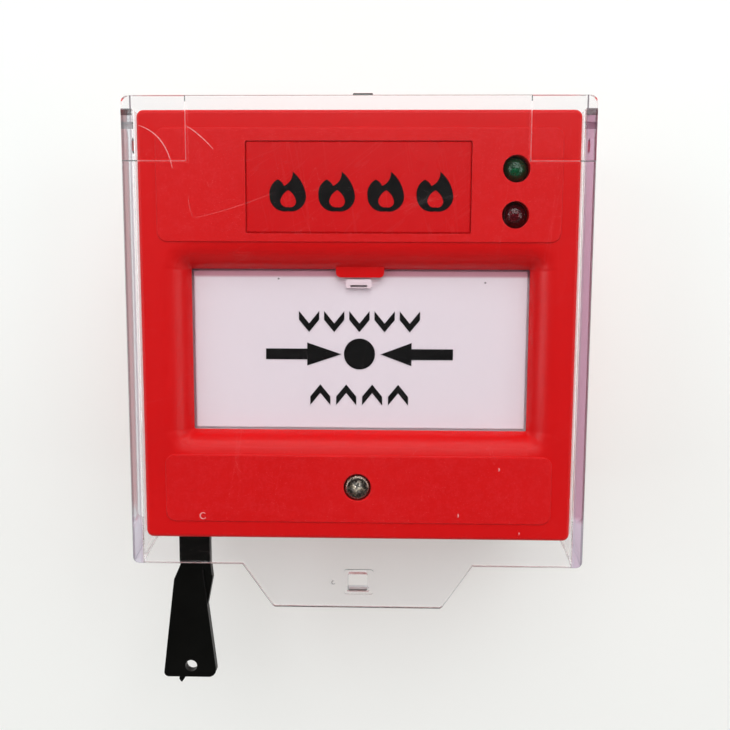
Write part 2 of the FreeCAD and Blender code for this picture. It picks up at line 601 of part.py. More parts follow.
def make_terminal_block():
    y0, y1 = BOARD_Y[1], -11.0
    block = box(-15.2, 15.2, y0, y1, -19.0, -9.0)
    block = block.makeFillet(0.6, [e for e in block.Edges if e.BoundBox.XLength > 25 and e.BoundBox.YMin > -12])
    tools = []
    for x in terminal_places():
        tools.append(cyl_y(x, -13.6, -14.4, y1 + 1, 2.05))
        tools.append(cyl_y(x, -13.6, -16.0, -14.0, 1.25))
        tools.append(box(x - 1.9, x + 1.9, -19.6, -15.0, -20, -10.6))
    return cut(block, *tools)


def make_terminal_screws():
    heads = []
    for x in terminal_places():
        head = cyl_y(x, -13.6, -14.0, -12.3, 1.85)
        shank = cyl_y(x, -13.6, -16.2, -14.0, 1.2)
        slot = box(x - 2.0, x + 2.0, -12.9, -12.2, -13.9, -13.3)
        heads.append(cut(fuse(head, shank), slot))
    return Part.makeCompound(heads)


def make_wire_clamps():
    cages = []
    for x in terminal_places():
        cage = box(x - 1.8, x + 1.8, -19.5, -15.1, -18.2, -10.8)
        hole = box(x - 1.3, x + 1.3, -19.0, -16.4, -20, -10)
        cages.append(cut(cage, hole, cyl_y(x, -13.6, -16.5, -14, 1.2)))
    return Part.makeCompound(cages)


# ---- clear cover ---------------------------------------------------------------------------
def make_clear_cover():
    """Open-topped clear hood: a front with two side walls, moulded pips to hang it and a pull tab."""
    wall_x = COVER_X - COVER_T
    rear = -22.0
    inner = COVER_FRONT + COVER_PANEL
    rise = (rear - COVER_FRONT) * math.tan(math.radians(10.0))
    shell = slab(-COVER_X, COVER_X, COVER_BOTTOM - 5, COVER_TOP, COVER_FRONT, inner, 1.5)
    profile = [(COVER_FRONT, COVER_BOTTOM - 5), (COVER_FRONT, COVER_WALL_TOP), (rear - 2.6, COVER_WALL_TOP),
               (rear - 0.75, COVER_WALL_TOP - 0.75), (rear, COVER_WALL_TOP - 2.6), (rear, COVER_BOTTOM - 5)]
    shell = fuse(shell, prism_x(profile, -COVER_X, -wall_x), prism_x(profile, wall_x, COVER_X))
    below = prism_x([(COVER_FRONT - 1, COVER_BOTTOM), (inner, COVER_BOTTOM), (rear + 1, COVER_BOTTOM + rise),
                     (rear + 1, -60.0), (COVER_FRONT - 1, -60.0)], -COVER_X - 1, COVER_X + 1)
    shell = cut(shell, below)
    low = [e for e in shell.Edges if e.BoundBox.XLength < 1e-3 and abs(abs(e.BoundBox.XMin) - COVER_X) < 1e-3
           and e.BoundBox.YLength > 1 and e.BoundBox.ZMax < COVER_BOTTOM + rise + 0.1]
    shell = shell.makeFillet(1.3, low)
    tab = prism_y([(-23.0, COVER_BOTTOM + 2.0), (-23.0, COVER_BOTTOM), (-16.8, -56.15),
                   (17.2, -56.15), (23.3, COVER_BOTTOM), (23.3, COVER_BOTTOM + 2.0)], COVER_FRONT, inner)
    tab = tab.makeFillet(1.0, [e for e in tab.Edges if e.BoundBox.YLength > 1 and e.BoundBox.ZMax < -56])
    shell = fuse(shell, tab)
    shell = shell.makeFillet(0.28, edges_in_plane(shell, COVER_FRONT))
    corner = [e for e in shell.Edges if e.BoundBox.ZLength > 50 and abs(abs(e.BoundBox.XMin) - wall_x) < 1e-3
              and abs(e.BoundBox.YMin - inner) < 1e-3 and e.BoundBox.YLength < 1e-3]
    shell = shell.makeFillet(0.45, corner)
    pips = []
    for s in (-1, 1):
        x0, x1 = sorted((s * (wall_x + 0.3), s * (WIDTH / 2 - CASE_WALL + 0.9)))
        pips.append(cyl_x(HINGE_Y, HINGE_Z, x0, x1, PIP_R))
    eyelet = slab(-2.45, 3.45, -53.1, -48.0, COVER_FRONT - 0.35, COVER_FRONT + 0.5, 0.6)
    lip = slab(-1.9, 2.6, -53.0, -52.3, COVER_FRONT + 0.5, COVER_FRONT + COVER_PANEL + 0.8, 0.2)
    gate = slab(-0.9, 2.9, COVER_TOP - 0.4, COVER_TOP + 0.35, COVER_FRONT + 0.4, COVER_FRONT + 1.4, 0.2)
    shell = fuse(shell, eyelet, lip, gate, *pips)
    tools = [slab(-1.65, 2.3, -52.3, -48.9, COVER_FRONT - 1, COVER_FRONT + 4, 0.4),
             cyl_y(-5.0, -50.7, COVER_FRONT - 0.1, COVER_FRONT + 0.1, 0.45)]
    for s in (-1, 1):                                  # corner fields, sunk with a sloping step
        rings = []
        for y, grow in ((COVER_FRONT - 0.05, 0.3), (COVER_FRONT + 0.25, 0.0)):
            x0, x1, z0 = s * (33.0 - grow), s * (COVER_X + 2), 32.6 - grow
            rings.append(outline_xz([(x0, z0), (x1, z0), (x1, COVER_TOP + 2), (x0, COVER_TOP + 2)], y))
        tools.append(Part.makeLoft(rings, True, True))
    return cut(shell, *tools)


# ---- every piece in its own file ----------------------------------------------------------
PIECES = {
    "back_box": make_back_box(),
    "housing_gasket": make_housing_gasket(),
    "screw_insert": make_screw_insert(),
    "screw_washer": make_screw_washer(),
    "housing_screw": make_housing_screw(),
    "front_housing": make_front_housing(),
    "legend_plate": make_legend_plate(),
    "legend_symbols": make_legend_symbols(),
    "green_led": make_lamp(LAMP_Z[0]),
    "red_led": make_lamp(LAMP_Z[1]),
    "led_leads": make_lamp_leads(),
    "press_plate": cut_for_catch(make_press_plate()),
    "plate_catch": make_plate_catch(),
    "press_symbols": make_press_symbols(),
    "pivot_pin": make_pivot_pin(),
    "return_spring": make_return_spring(),
    "element_frame": make_element_frame(),
    "frame_screws": make_frame_screws(),
    "board_screws": make_board_screws(),
    "reset_slider": make_reset_slider(),
    "slider_spring": make_slider_spring(),
    "latch_lever": make_latch_lever(),
    "latch_pin": make_latch_pin(),
    "reset_key": make_reset_key(),
    "microswitch_body": make_microswitch_body(),
    "microswitch_plunger": make_microswitch_plunger(),
    "switch_lever": make_switch_lever(),
    "lever_pin": make_lever_pin(),
    "switch_terminals": make_switch_terminals(),
    "circuit_board": make_circuit_board(),
    "resistors": make_resistors(),
    "capacitor": make_capacitor(),
    "driver_chip": make_driver_chip(),
    "terminal_block": make_terminal_block(),
    "terminal_screws": make_terminal_screws(),
    "wire_clamps": make_wire_clamps(),
    "clear_cover": make_clear_cover(),
}

for name, shape in PIECES.items():
    solids = len(shape.Solids)
    print(f"{name:20s} solids {solids} valid {shape.isValid()} volume {shape.Volume:9.1f}")
    shape.exportStep(f"parts/{name}.step")
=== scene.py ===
# %% [markdown]
# # A manual call point, dressed in Blender
# The red wall unit, its clear cover, the white press plate, the lamps and the key come from the
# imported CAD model, already in place and to size. This lesson gives every piece a finish, adds the
# small things that only looks need, such as the metal inside the lamps, and then lights the unit on
# a plain wall. Everything is in metres, with X to the right, Y into the wall and Z up.

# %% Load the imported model
import math
import bpy
from mathutils import Matrix, Vector


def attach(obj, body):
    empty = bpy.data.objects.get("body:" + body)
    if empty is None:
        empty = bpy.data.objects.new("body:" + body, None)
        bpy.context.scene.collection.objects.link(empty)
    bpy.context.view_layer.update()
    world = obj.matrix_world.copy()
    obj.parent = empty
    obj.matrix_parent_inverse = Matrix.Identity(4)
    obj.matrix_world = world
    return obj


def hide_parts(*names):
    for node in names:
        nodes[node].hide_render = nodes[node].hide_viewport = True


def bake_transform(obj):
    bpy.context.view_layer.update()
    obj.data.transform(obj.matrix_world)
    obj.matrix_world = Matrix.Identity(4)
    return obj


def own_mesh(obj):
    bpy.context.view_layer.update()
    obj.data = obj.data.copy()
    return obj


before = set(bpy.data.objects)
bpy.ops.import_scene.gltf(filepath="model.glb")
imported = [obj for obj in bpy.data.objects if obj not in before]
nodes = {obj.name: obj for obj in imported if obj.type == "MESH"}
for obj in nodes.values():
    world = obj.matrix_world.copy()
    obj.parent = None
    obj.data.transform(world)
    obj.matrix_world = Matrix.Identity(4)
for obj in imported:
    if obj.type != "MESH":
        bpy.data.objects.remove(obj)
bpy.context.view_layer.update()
MM = 0.001
print("pieces in the frame:", len(nodes))

# %% [markdown]
# ## Small helpers for shader nodes
# A finish is a small graph. `put` places one shader node and sets its values in the same line, and
# `wire` joins two sockets. Short helpers keep each finish readable, because what is left on the
# page is only what makes that finish different from the next.

# %% Helpers for shader nodes
def put(tree, kind, inputs=None, **settings):
    node = tree.nodes.new(kind)
    for name, value in settings.items():
        setattr(node, name, value)
    for name, value in (inputs or {}).items():
        node.inputs[name].default_value = value
    return node


def wire(tree, source, target):
    tree.links.new(source, target)


def math_node(tree, operation, first, second=None, third=None, clamp=False):
    node = put(tree, "ShaderNodeMath", operation=operation, use_clamp=clamp)
    for socket, value in zip(node.inputs, (first, second, third)):
        if value is None:
            continue
        if isinstance(value, (int, float)):
            socket.default_value = value
        else:
            wire(tree, value, socket)
    return node.outputs[0]


def ramp(tree, value, low, high, to_low=0.0, to_high=1.0):
    limits = {"From Min": low, "From Max": high, "To Min": to_low, "To Max": to_high}
    node = put(tree, "ShaderNodeMapRange", limits, interpolation_type="SMOOTHSTEP")
    wire(tree, value, node.inputs["Value"])
    return node.outputs["Result"]


def mix_colour(tree, share, first, second):
    node = put(tree, "ShaderNodeMix", data_type="RGBA")
    for socket, value in ((node.inputs[0], share), (node.inputs[6], first), (node.inputs[7], second)):
        if isinstance(value, bpy.types.NodeSocket):
            wire(tree, value, socket)
        else:
            socket.default_value = value
    return node.outputs[2]


# %% [markdown]
# ### Masks by place
# A mask is a value from 0 to 1 that says how much of an effect a point gets. One moulding can hold
# several skins, and the plainest way to tell them apart is by place, so these helpers read a point's
# place and turn a stretch of it, in millimetres, into a mask. Masks are joined by multiplying them
# or by taking the largest, and `layers` lays colours over each other by their masks, like coats.

# %% Helpers for masks
def axes_of(tree, what="Object"):
    """X, Y and Z of the point's place, or with "Normal" of the way its face looks."""
    place = put(tree, "ShaderNodeTexCoord")
    axes = put(tree, "ShaderNodeSeparateXYZ")
    wire(tree, place.outputs[what], axes.inputs["Vector"])
    return axes.outputs


def ramp_mm(tree, value, low, high, to_low=0.0, to_high=1.0):
    return ramp(tree, value, low * MM, high * MM, to_low, to_high)


def band(tree, value, low, high, soft=0.05):
    """A mask that is one between two places, given in millimetres."""
    return times(tree, ramp_mm(tree, value, low - soft, low), ramp_mm(tree, value, high + soft, high))


def times(tree, *masks):
    product = masks[0]
    for mask in masks[1:]:
        product = math_node(tree, "MULTIPLY", product, mask)
    return product


def largest(tree, *masks):
    highest = masks[0]
    for mask in masks[1:]:
        highest = math_node(tree, "MAXIMUM", highest, mask)
    return highest


def without(tree, mask):
    return math_node(tree, "SUBTRACT", 1.0, mask)


def layers(tree, base, *coats):
    for mask, colour in coats:
        base = mix_colour(tree, mask, base, colour)
    return base


def scale_of(tree, size):
    """The scale of a texture whose features are this many millimetres apart."""
    return math_node(tree, "DIVIDE", 1 / MM, size)


# %% [markdown]
# ## Shared effects as node groups
# Several finishes need the same things: the fine pits that spark erosion leaves in a mould, a
# slight unevenness of colour, hairline rubs, specks of dust, and the brighter line where an edge
# has been handled. Each could be copied into every material, but then a change has to be made many
# times. A group with named inputs is built once and placed with its own values, so it stays one
# thing. The groups give out only masks, values and colours: the shader itself stays in the material.

# %% A builder for groups
def new_group(name, inputs, outputs):
    tree = bpy.data.node_groups.new(name, "ShaderNodeTree")
    for label, kind, default in inputs:
        socket = tree.interface.new_socket(name=label, in_out="INPUT", socket_type=kind)
        if default is not None:
            socket.default_value = default
    for label, kind in outputs:
        tree.interface.new_socket(name=label, in_out="OUTPUT", socket_type=kind)
    source = tree.nodes.new("NodeGroupInput").outputs
    target = tree.nodes.new("NodeGroupOutput").inputs
    return tree, source, target


FLOAT, COLOUR = "NodeSocketFloat", "NodeSocketColor"

# %% [markdown]
# ### Spark-eroded grain
# The raised panels of the red case are dull because their mould was left as the spark machine made
# it: tiny rounded pits side by side. Real displacement would need millions of faces, so the grain
# is a height for a Bump node. Two noises are added, since one alone looks like cloud: a fine one
# for the pits and a coarser one that makes them gather.

# %% Group: moulded grain
grain_group, gi, go = new_group(
    "moulded grain",
    [("Pit Size", FLOAT, 0.35), ("Gather Size", FLOAT, 1.6), ("Gather", FLOAT, 0.35)],
    [("Height", FLOAT), ("Shade", FLOAT)])
place = put(grain_group, "ShaderNodeTexCoord")
pits = put(grain_group, "ShaderNodeTexNoise", {"Detail": 2.0, "Roughness": 0.55})
lumps = put(grain_group, "ShaderNodeTexNoise", {"Detail": 3.0, "Roughness": 0.6})
for noise, size in ((pits, "Pit Size"), (lumps, "Gather Size")):
    wire(grain_group, place.outputs["Object"], noise.inputs["Vector"])
    wire(grain_group, scale_of(grain_group, gi[size]), noise.inputs["Scale"])
gathered = math_node(grain_group, "MULTIPLY", lumps.outputs["Fac"], gi["Gather"])
wire(grain_group, math_node(grain_group, "ADD", pits.outputs["Fac"], gathered), go["Height"])
wire(grain_group, lumps.outputs["Fac"], go["Shade"])
print("group made:", grain_group.name)

# %% [markdown]
# ### Uneven colour
# A moulded part is never one flat colour: the melt cools unevenly and hands leave a faint film. The
# colour is moved a few percent lighter and darker by a slow noise. Hue is left alone, because only
# dirt changes hue.

# %% Group: uneven colour
mottle_group, gi, go = new_group(
    "uneven colour",
    [("Colour", COLOUR, (0.5, 0.5, 0.5, 1)), ("Patch Size", FLOAT, 18.0), ("Spread", FLOAT, 0.06)],
    [("Colour", COLOUR), ("Patches", FLOAT)])
place = put(mottle_group, "ShaderNodeTexCoord")
patches = put(mottle_group, "ShaderNodeTexNoise", {"Detail": 4.0, "Roughness": 0.55})
wire(mottle_group, place.outputs["Object"], patches.inputs["Vector"])
wire(mottle_group, scale_of(mottle_group, gi["Patch Size"]), patches.inputs["Scale"])
centred = math_node(mottle_group, "SUBTRACT", patches.outputs["Fac"], 0.5)
swing = math_node(mottle_group, "MULTIPLY_ADD", times(mottle_group, centred, gi["Spread"]), 2.0, 1.0)
shade = put(mottle_group, "ShaderNodeHueSaturation")
wire(mottle_group, gi["Colour"], shade.inputs["Color"])
wire(mottle_group, swing, shade.inputs["Value"])
wire(mottle_group, shade.outputs["Color"], go["Colour"])
wire(mottle_group, patches.outputs["Fac"], go["Patches"])
print("group made:", mottle_group.name)

# %% [markdown]
# ### Handled edges
# Corners are where plating thins and plastic polishes. The Bevel node bends the normal near an
# edge, so the difference between that normal and the true one is a mask of the edges, at any
# chosen width. A noise breaks the mask up, because wear is never an even line.

# %% Group: handled edges
edge_group, gi, go = new_group(
    "handled edges",
    [("Width", FLOAT, 0.3), ("Amount", FLOAT, 0.5), ("Break Up", FLOAT, 0.6)],
    [("Mask", FLOAT)])
round_normal = put(edge_group, "ShaderNodeBevel", samples=4)
wire(edge_group, times(edge_group, gi["Width"], MM), round_normal.inputs["Radius"])
true_normal = put(edge_group, "ShaderNodeNewGeometry")
likeness = put(edge_group, "ShaderNodeVectorMath", operation="DOT_PRODUCT")
wire(edge_group, round_normal.outputs["Normal"], likeness.inputs[0])
wire(edge_group, true_normal.outputs["Normal"], likeness.inputs[1])
edge = ramp(edge_group, likeness.outputs["Value"], 0.99, 0.80)
place = put(edge_group, "ShaderNodeTexCoord")
breaks = put(edge_group, "ShaderNodeTexNoise", {"Scale": 900.0, "Detail": 4.0})
wire(edge_group, place.outputs["Object"], breaks.inputs["Vector"])
broken = ramp(edge_group, breaks.outputs["Fac"], 0.35, 0.65)
gone = math_node(edge_group, "SUBTRACT", broken, 1.0)
kept = math_node(edge_group, "MULTIPLY_ADD", gone, gi["Break Up"], 1.0)
worn = math_node(edge_group, "MULTIPLY", times(edge_group, edge, kept), gi["Amount"], clamp=True)
wire(edge_group, worn, go["Mask"])
print("group made:", edge_group.name)

# %% [markdown]
# ### Dust
# Dust is small separate specks. A Voronoi texture gives each cell one point, and only cells whose
# random value is high enough get a speck, so the density is one input. The specks are round and of
# different sizes because the threshold on the distance also follows the cell's random value.

# %% Group: dust specks
dust_group, gi, go = new_group(
    "dust specks",
    [("Spacing", FLOAT, 4.0), ("Share", FLOAT, 0.1), ("Speck Size", FLOAT, 0.12)],
    [("Mask", FLOAT)])
place = put(dust_group, "ShaderNodeTexCoord")
cells = put(dust_group, "ShaderNodeTexVoronoi", voronoi_dimensions="3D", feature="F1")
wire(dust_group, place.outputs["Object"], cells.inputs["Vector"])
wire(dust_group, scale_of(dust_group, gi["Spacing"]), cells.inputs["Scale"])
dice = put(dust_group, "ShaderNodeSeparateColor")
wire(dust_group, cells.outputs["Color"], dice.inputs["Color"])
chosen = math_node(dust_group, "LESS_THAN", dice.outputs["Red"], gi["Share"])
reach = math_node(dust_group, "DIVIDE", gi["Speck Size"], gi["Spacing"])
reach = times(dust_group, reach, math_node(dust_group, "ADD", dice.outputs["Green"], 0.4))
inside = math_node(dust_group, "LESS_THAN", cells.outputs["Distance"], reach)
wire(dust_group, times(dust_group, inside, chosen), go["Mask"])
print("group made:", dust_group.name)

# %% [markdown]
# ### Hairline rubs
# Wiping leaves fine straight rubs that cross each other. Stretching a noise along one direction
# gives the strands, and a narrow band of its values keeps only thin lines. Two directions are
# added, turned by a third input, so that two pieces never share the same pattern.

# %% Group: hairline rubs
rub_group, gi, go = new_group(
    "hairline rubs",
    [("Spacing", FLOAT, 3.0), ("Fineness", FLOAT, 0.012), ("Turn", FLOAT, 0.4)],
    [("Mask", FLOAT)])
place = put(rub_group, "ShaderNodeTexCoord")
strands = []
for angle, stretch in ((0.35, 14.0), (-0.8, 9.0)):
    turned = put(rub_group, "ShaderNodeVectorRotate", {"Axis": (0, 1, 0)}, rotation_type="AXIS_ANGLE")
    wire(rub_group, place.outputs["Object"], turned.inputs["Vector"])
    wire(rub_group, math_node(rub_group, "ADD", gi["Turn"], angle), turned.inputs["Angle"])
    squeezed = put(rub_group, "ShaderNodeVectorMath", operation="MULTIPLY")
    squeezed.inputs[1].default_value = (1.0 / stretch, 1.0 / stretch, 1.0)
    wire(rub_group, turned.outputs["Vector"], squeezed.inputs[0])
    noise = put(rub_group, "ShaderNodeTexNoise", {"Detail": 1.0, "Roughness": 0.4})
    wire(rub_group, squeezed.outputs["Vector"], noise.inputs["Vector"])
    wire(rub_group, scale_of(rub_group, gi["Spacing"]), noise.inputs["Scale"])
    off = math_node(rub_group, "ABSOLUTE", math_node(rub_group, "SUBTRACT", noise.outputs["Fac"], 0.5))
    strands.append(math_node(rub_group, "LESS_THAN", off, gi["Fineness"]))
wire(rub_group, largest(rub_group, *strands), go["Mask"])
print("group made:", rub_group.name)

# %% [markdown]
# ## One builder for opaque finishes
# Most pieces are plastic or metal and differ only in numbers: colour, gloss, grain, how much dust
# they hold and how their edges have worn. `finish` builds the graph once from such numbers. The
# Principled shader sits in the material itself, and what never changes over the surface, such as
# how metallic it is and how strongly it mirrors, is set on its own socket.

# %% Builder for plastic and metal finishes
materials = {}


def place_group(tree, group, inputs=None):
    node = put(tree, "ShaderNodeGroup", node_tree=group)
    for name, value in (inputs or {}).items():
        node.inputs[name].default_value = value
    return node


def blank(name):
    material = bpy.data.materials.new(name)
    material.use_nodes = True
    tree = material.node_tree
    tree.nodes.clear()
    shader = put(tree, "ShaderNodeBsdfPrincipled")
    output = put(tree, "ShaderNodeOutputMaterial")
    wire(tree, shader.outputs["BSDF"], output.inputs["Surface"])
    materials[name] = material
    return material, tree, shader, output


def mottled(tree, colour, patch, spread):
    """An unevenly coloured base: patches in millimetres, spread as a share of its brightness."""
    return place_group(tree, mottle_group, {"Colour": (*colour, 1), "Patch Size": patch, "Spread": spread})


def specks_of(tree, spacing, share, size, cover):
    """A mask of dust, with the cover that one speck has."""
    specks = place_group(tree, dust_group, {"Spacing": spacing, "Share": share, "Speck Size": size})
    return times(tree, specks.outputs["Mask"], cover)


ROUGHNESS_SWING = 0.12
PALE_DUST = (0.55, 0.53, 0.5, 1)


def finish(name, colour, rough=0.35, metallic=0.0, patch=18.0, spread=0.05, pit=0.35, grain=0.0,
           edge=0.0, edge_width=0.25, edge_colour=None, dust=0.0, rub=0.0, mirror=0.5):
    """A plastic or metal: sizes in millimetres, grain as the height of its pits in millimetres."""
    material, tree, shader, _ = blank(name)
    shader.inputs["Metallic"].default_value = metallic
    shader.inputs["Specular IOR Level"].default_value = mirror
    base = mottled(tree, colour, patch, spread)
    surface = base.outputs["Colour"]
    rough_now = ramp(tree, base.outputs["Patches"], 0.25, 0.75,
                     rough * (1 - ROUGHNESS_SWING), rough * (1 + ROUGHNESS_SWING))
    if edge:
        worn = place_group(tree, edge_group, {"Width": edge_width, "Amount": edge})
        lighter = edge_colour or tuple(min(1.0, c * 1.5 + 0.02) for c in colour)
        surface = mix_colour(tree, worn.outputs["Mask"], surface, (*lighter, 1))
    if dust:
        surface = mix_colour(tree, specks_of(tree, 2.6, dust, 0.07, 0.55), surface, PALE_DUST)
    if rub:
        rubs = place_group(tree, rub_group, {"Spacing": 2.2, "Fineness": 0.01, "Turn": len(materials) * 0.7})
        rough_now = math_node(tree, "MULTIPLY_ADD", rubs.outputs["Mask"], rub, rough_now)
    wire(tree, surface, shader.inputs["Base Color"])
    wire(tree, rough_now, shader.inputs["Roughness"])
    if grain:
        pits = place_group(tree, grain_group, {"Pit Size": pit})
        bump = put(tree, "ShaderNodeBump", {"Strength": 1.0, "Distance": grain * MM})
        wire(tree, pits.outputs["Height"], bump.inputs["Height"])
        wire(tree, bump.outputs["Normal"], shader.inputs["Normal"])
    return material


def dress(material, *names):
    """Gives CAD nodes or new pieces this finish."""
    for name in names:
        piece = nodes.get(name) or bpy.data.objects[name]
        piece.data.materials.clear()
        piece.data.materials.append(material)


# %% [markdown]
# ## The red case
# The case is one moulding with three skins: a satin border, dull grained panels standing a quarter
# of a millimetre proud, and polished slopes round the window that mirror the white plate. It could
# be split into three materials by face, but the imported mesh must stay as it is. So one material
# reads the place of each point: the raised panels are the points nearest the front, and the slopes
# lie between the border and the window's throat.

# %% The red case
RED = (0.70, 0.0055, 0.0065)
RED_GLINT, WORN_RED, DUSTY_RED = (0.86, 0.060, 0.070, 1), (0.85, 0.10, 0.10, 1), (0.75, 0.30, 0.28, 1)
# Places along Y in millimetres where a skin begins and where it is complete
PANEL_FROM, PANEL_FULL = -45.93, -45.97
SLOPE_FROM, SLOPE_FULL = -45.5, -44.6
THROAT_FROM, SLOPE_ENDS = -41.2, -41.6
SLOPES_HALF_WIDE, SLOPES_HALF_HIGH = 40, 27
GRAIN_HEIGHT = 0.026


def red_case():
    material, tree, shader, _ = blank("red case")
    shader.inputs["Specular IOR Level"].default_value = 0.18
    at = axes_of(tree)
    depth = math_node(tree, "MULTIPLY", at["Y"], 1 / MM)
    panel = ramp(tree, depth, PANEL_FROM, PANEL_FULL)
    near_window = times(
        tree, math_node(tree, "LESS_THAN", math_node(tree, "ABSOLUTE", at["X"]), SLOPES_HALF_WIDE * MM),
        math_node(tree, "LESS_THAN", math_node(tree, "ABSOLUTE", at["Z"]), SLOPES_HALF_HIGH * MM))
    slope = times(tree, ramp(tree, depth, SLOPE_FROM, SLOPE_FULL), ramp(tree, depth, THROAT_FROM, SLOPE_ENDS),
                  near_window)
    base = mottled(tree, RED, 26.0, 0.05)
    worn = place_group(tree, edge_group, {"Width": 0.35, "Amount": 0.16, "Break Up": 0.5})
    fine = place_group(tree, grain_group, {"Pit Size": 0.16, "Gather Size": 0.9, "Gather": 0.5})
    coarse = place_group(tree, grain_group, {"Pit Size": 0.30, "Gather Size": 1.5, "Gather": 0.6})
    sparkle = times(tree, ramp(tree, coarse.outputs["Height"], 0.72, 1.0, 0.0, 0.16), panel)
    surface = layers(tree, base.outputs["Colour"], (worn.outputs["Mask"], WORN_RED),
                     (specks_of(tree, 5.0, 0.035, 0.09, 0.5), DUSTY_RED), (sparkle, RED_GLINT))
    wire(tree, surface, shader.inputs["Base Color"])
    satin = ramp(tree, base.outputs["Patches"], 0.3, 0.7, 0.30, 0.36)
    dull = math_node(tree, "MULTIPLY_ADD", panel, 0.06, satin)
    wire(tree, math_node(tree, "MULTIPLY_ADD", slope, -0.14, dull), shader.inputs["Roughness"])
    height = math_node(tree, "ADD", times(tree, fine.outputs["Height"], 0.35),
                       times(tree, coarse.outputs["Height"], panel))
    bump = put(tree, "ShaderNodeBump", {"Strength": 1.0, "Distance": GRAIN_HEIGHT * MM})
    wire(tree, times(tree, height, without(tree, slope)), bump.inputs["Height"])
    wire(tree, bump.outputs["Normal"], shader.inputs["Normal"])
    return material


dress(red_case(), "front_housing")
dress(finish("red insert", (0.66, 0.008, 0.010), rough=0.26, spread=0.03, patch=30.0, dust=0.04, rub=0.1,
             mirror=0.16), "legend_plate")
dress(finish("red box", (0.58, 0.008, 0.010), rough=0.42, grain=0.012, pit=0.3, edge=0.25, dust=0.08,
             mirror=0.35), "back_box")
print("red finishes:", [m for m in materials if m.startswith("red")])

# %% [markdown]
# ## The white press plate and the print
# The plate is smooth white plastic with a faint cold cast. White shows everything, so it gets a
# slow unevenness, a very light film of rubs and a few dark specks. The marks are screen print: a
# thin layer of ink that is a little glossier than paint and never quite even.

# %% White plate and marks
WHITE = (0.88, 0.80, 0.852)
PAINTED_RED_SHADE, DARK_SPECK = (0.54, 0.19, 0.26, 1), (0.45, 0.42, 0.42, 1)
# Where the painted red shade and reflection begins and where it is complete, in millimetres
PAINTED_SHADE_UNDER_TOP, PAINTED_SHADE_BY_LEFT = (10.2, 10.9), (-32.6, -33.4)


def white_plate():
    """White plastic whose top and left borders get painted shade and a painted reflection of the red window
    edge.
    """
    material, tree, shader, _ = blank("white plate")
    shader.inputs["Specular IOR Level"].default_value = 0.5
    at = axes_of(tree)
    # Painted shade and painted red reflection: darker and redder under the window's top edge and by its left
    # edge
    painted_shade = largest(tree, ramp_mm(tree, at["Z"], *PAINTED_SHADE_UNDER_TOP, 0.0, 0.85),
                   ramp_mm(tree, at["X"], *PAINTED_SHADE_BY_LEFT, 0.0, 0.5))
    surface = layers(tree, mottled(tree, WHITE, 22.0, 0.02).outputs["Colour"], (painted_shade, PAINTED_RED_SHADE),
                     (specks_of(tree, 2.6, 0.05, 0.07, 0.5), DARK_SPECK))
    wire(tree, surface, shader.inputs["Base Color"])
    rubs = place_group(tree, rub_group, {"Spacing": 2.2, "Fineness": 0.01, "Turn": 2.8})
    wire(tree, math_node(tree, "MULTIPLY_ADD", rubs.outputs["Mask"], 0.12, 0.30), shader.inputs["Roughness"])
    return material


dress(white_plate(), "press_plate")
dress(finish("black print", (0.006, 0.006, 0.006), rough=0.38, spread=0.3, patch=3.0, grain=0.004, pit=0.12,
             mirror=0.1), "legend_symbols", "press_symbols")
print("marks printed on the plate and on the insert")

# %% [markdown]
# ## Metals
# The front screw is nickel plated, the inner ones are zinc, and pins and springs are bare steel.
# All are fully metallic, so their look comes from what they reflect: slight unevenness in the
# roughness keeps them from looking like chrome. The middle of the front screw's head gets a painted
# highlight, where its cross mirrors the light, and towards its rim it turns darker, partly brown
# with age and partly painted shade for the dark room it mirrors; the driver has rubbed its edges bright.

# %% Metals
def middle_of(piece):
    corners = [piece.matrix_world @ Vector(corner) for corner in piece.bound_box]
    return sum(corners, Vector()) / len(corners)


GLINT_RADIUS, BROWN_SHADE_RADIUS = 0.55, 1.55
PAINTED_GLINT_NICKEL, BROWN_AND_SHADED_NICKEL, RUBBED_EDGE = (0.98, 0.95, 0.88, 1), (0.24, 0.20, 0.165), (0.7, 0.66, 0.6, 1)


def front_screw():
    material, tree, shader, _ = blank("nickel screw")
    shader.inputs["Metallic"].default_value = 1.0
    at, middle = axes_of(tree), middle_of(nodes["housing_screw"])
    across = math_node(tree, "SUBTRACT", at["X"], middle.x)
    upward = math_node(tree, "SUBTRACT", at["Z"], middle.z)
    squares = math_node(tree, "ADD", times(tree, across, across), times(tree, upward, upward))
    # Painted highlight in the middle of the head, and towards the rim brown age mixed with painted shade
    browned_and_shaded = ramp_mm(tree, math_node(tree, "SQRT", squares), GLINT_RADIUS, BROWN_SHADE_RADIUS)
    base = mottled(tree, BROWN_AND_SHADED_NICKEL, 0.9, 0.5)
    rubbed = place_group(tree, edge_group, {"Width": 0.10, "Amount": 0.5, "Break Up": 0.6})
    surface = mix_colour(tree, browned_and_shaded, PAINTED_GLINT_NICKEL, base.outputs["Colour"])
    surface = mix_colour(tree, rubbed.outputs["Mask"], surface, RUBBED_EDGE)
    wire(tree, surface, shader.inputs["Base Color"])
    wire(tree, ramp(tree, base.outputs["Patches"], 0.3, 0.7, 0.16, 0.34), shader.inputs["Roughness"])
    return material


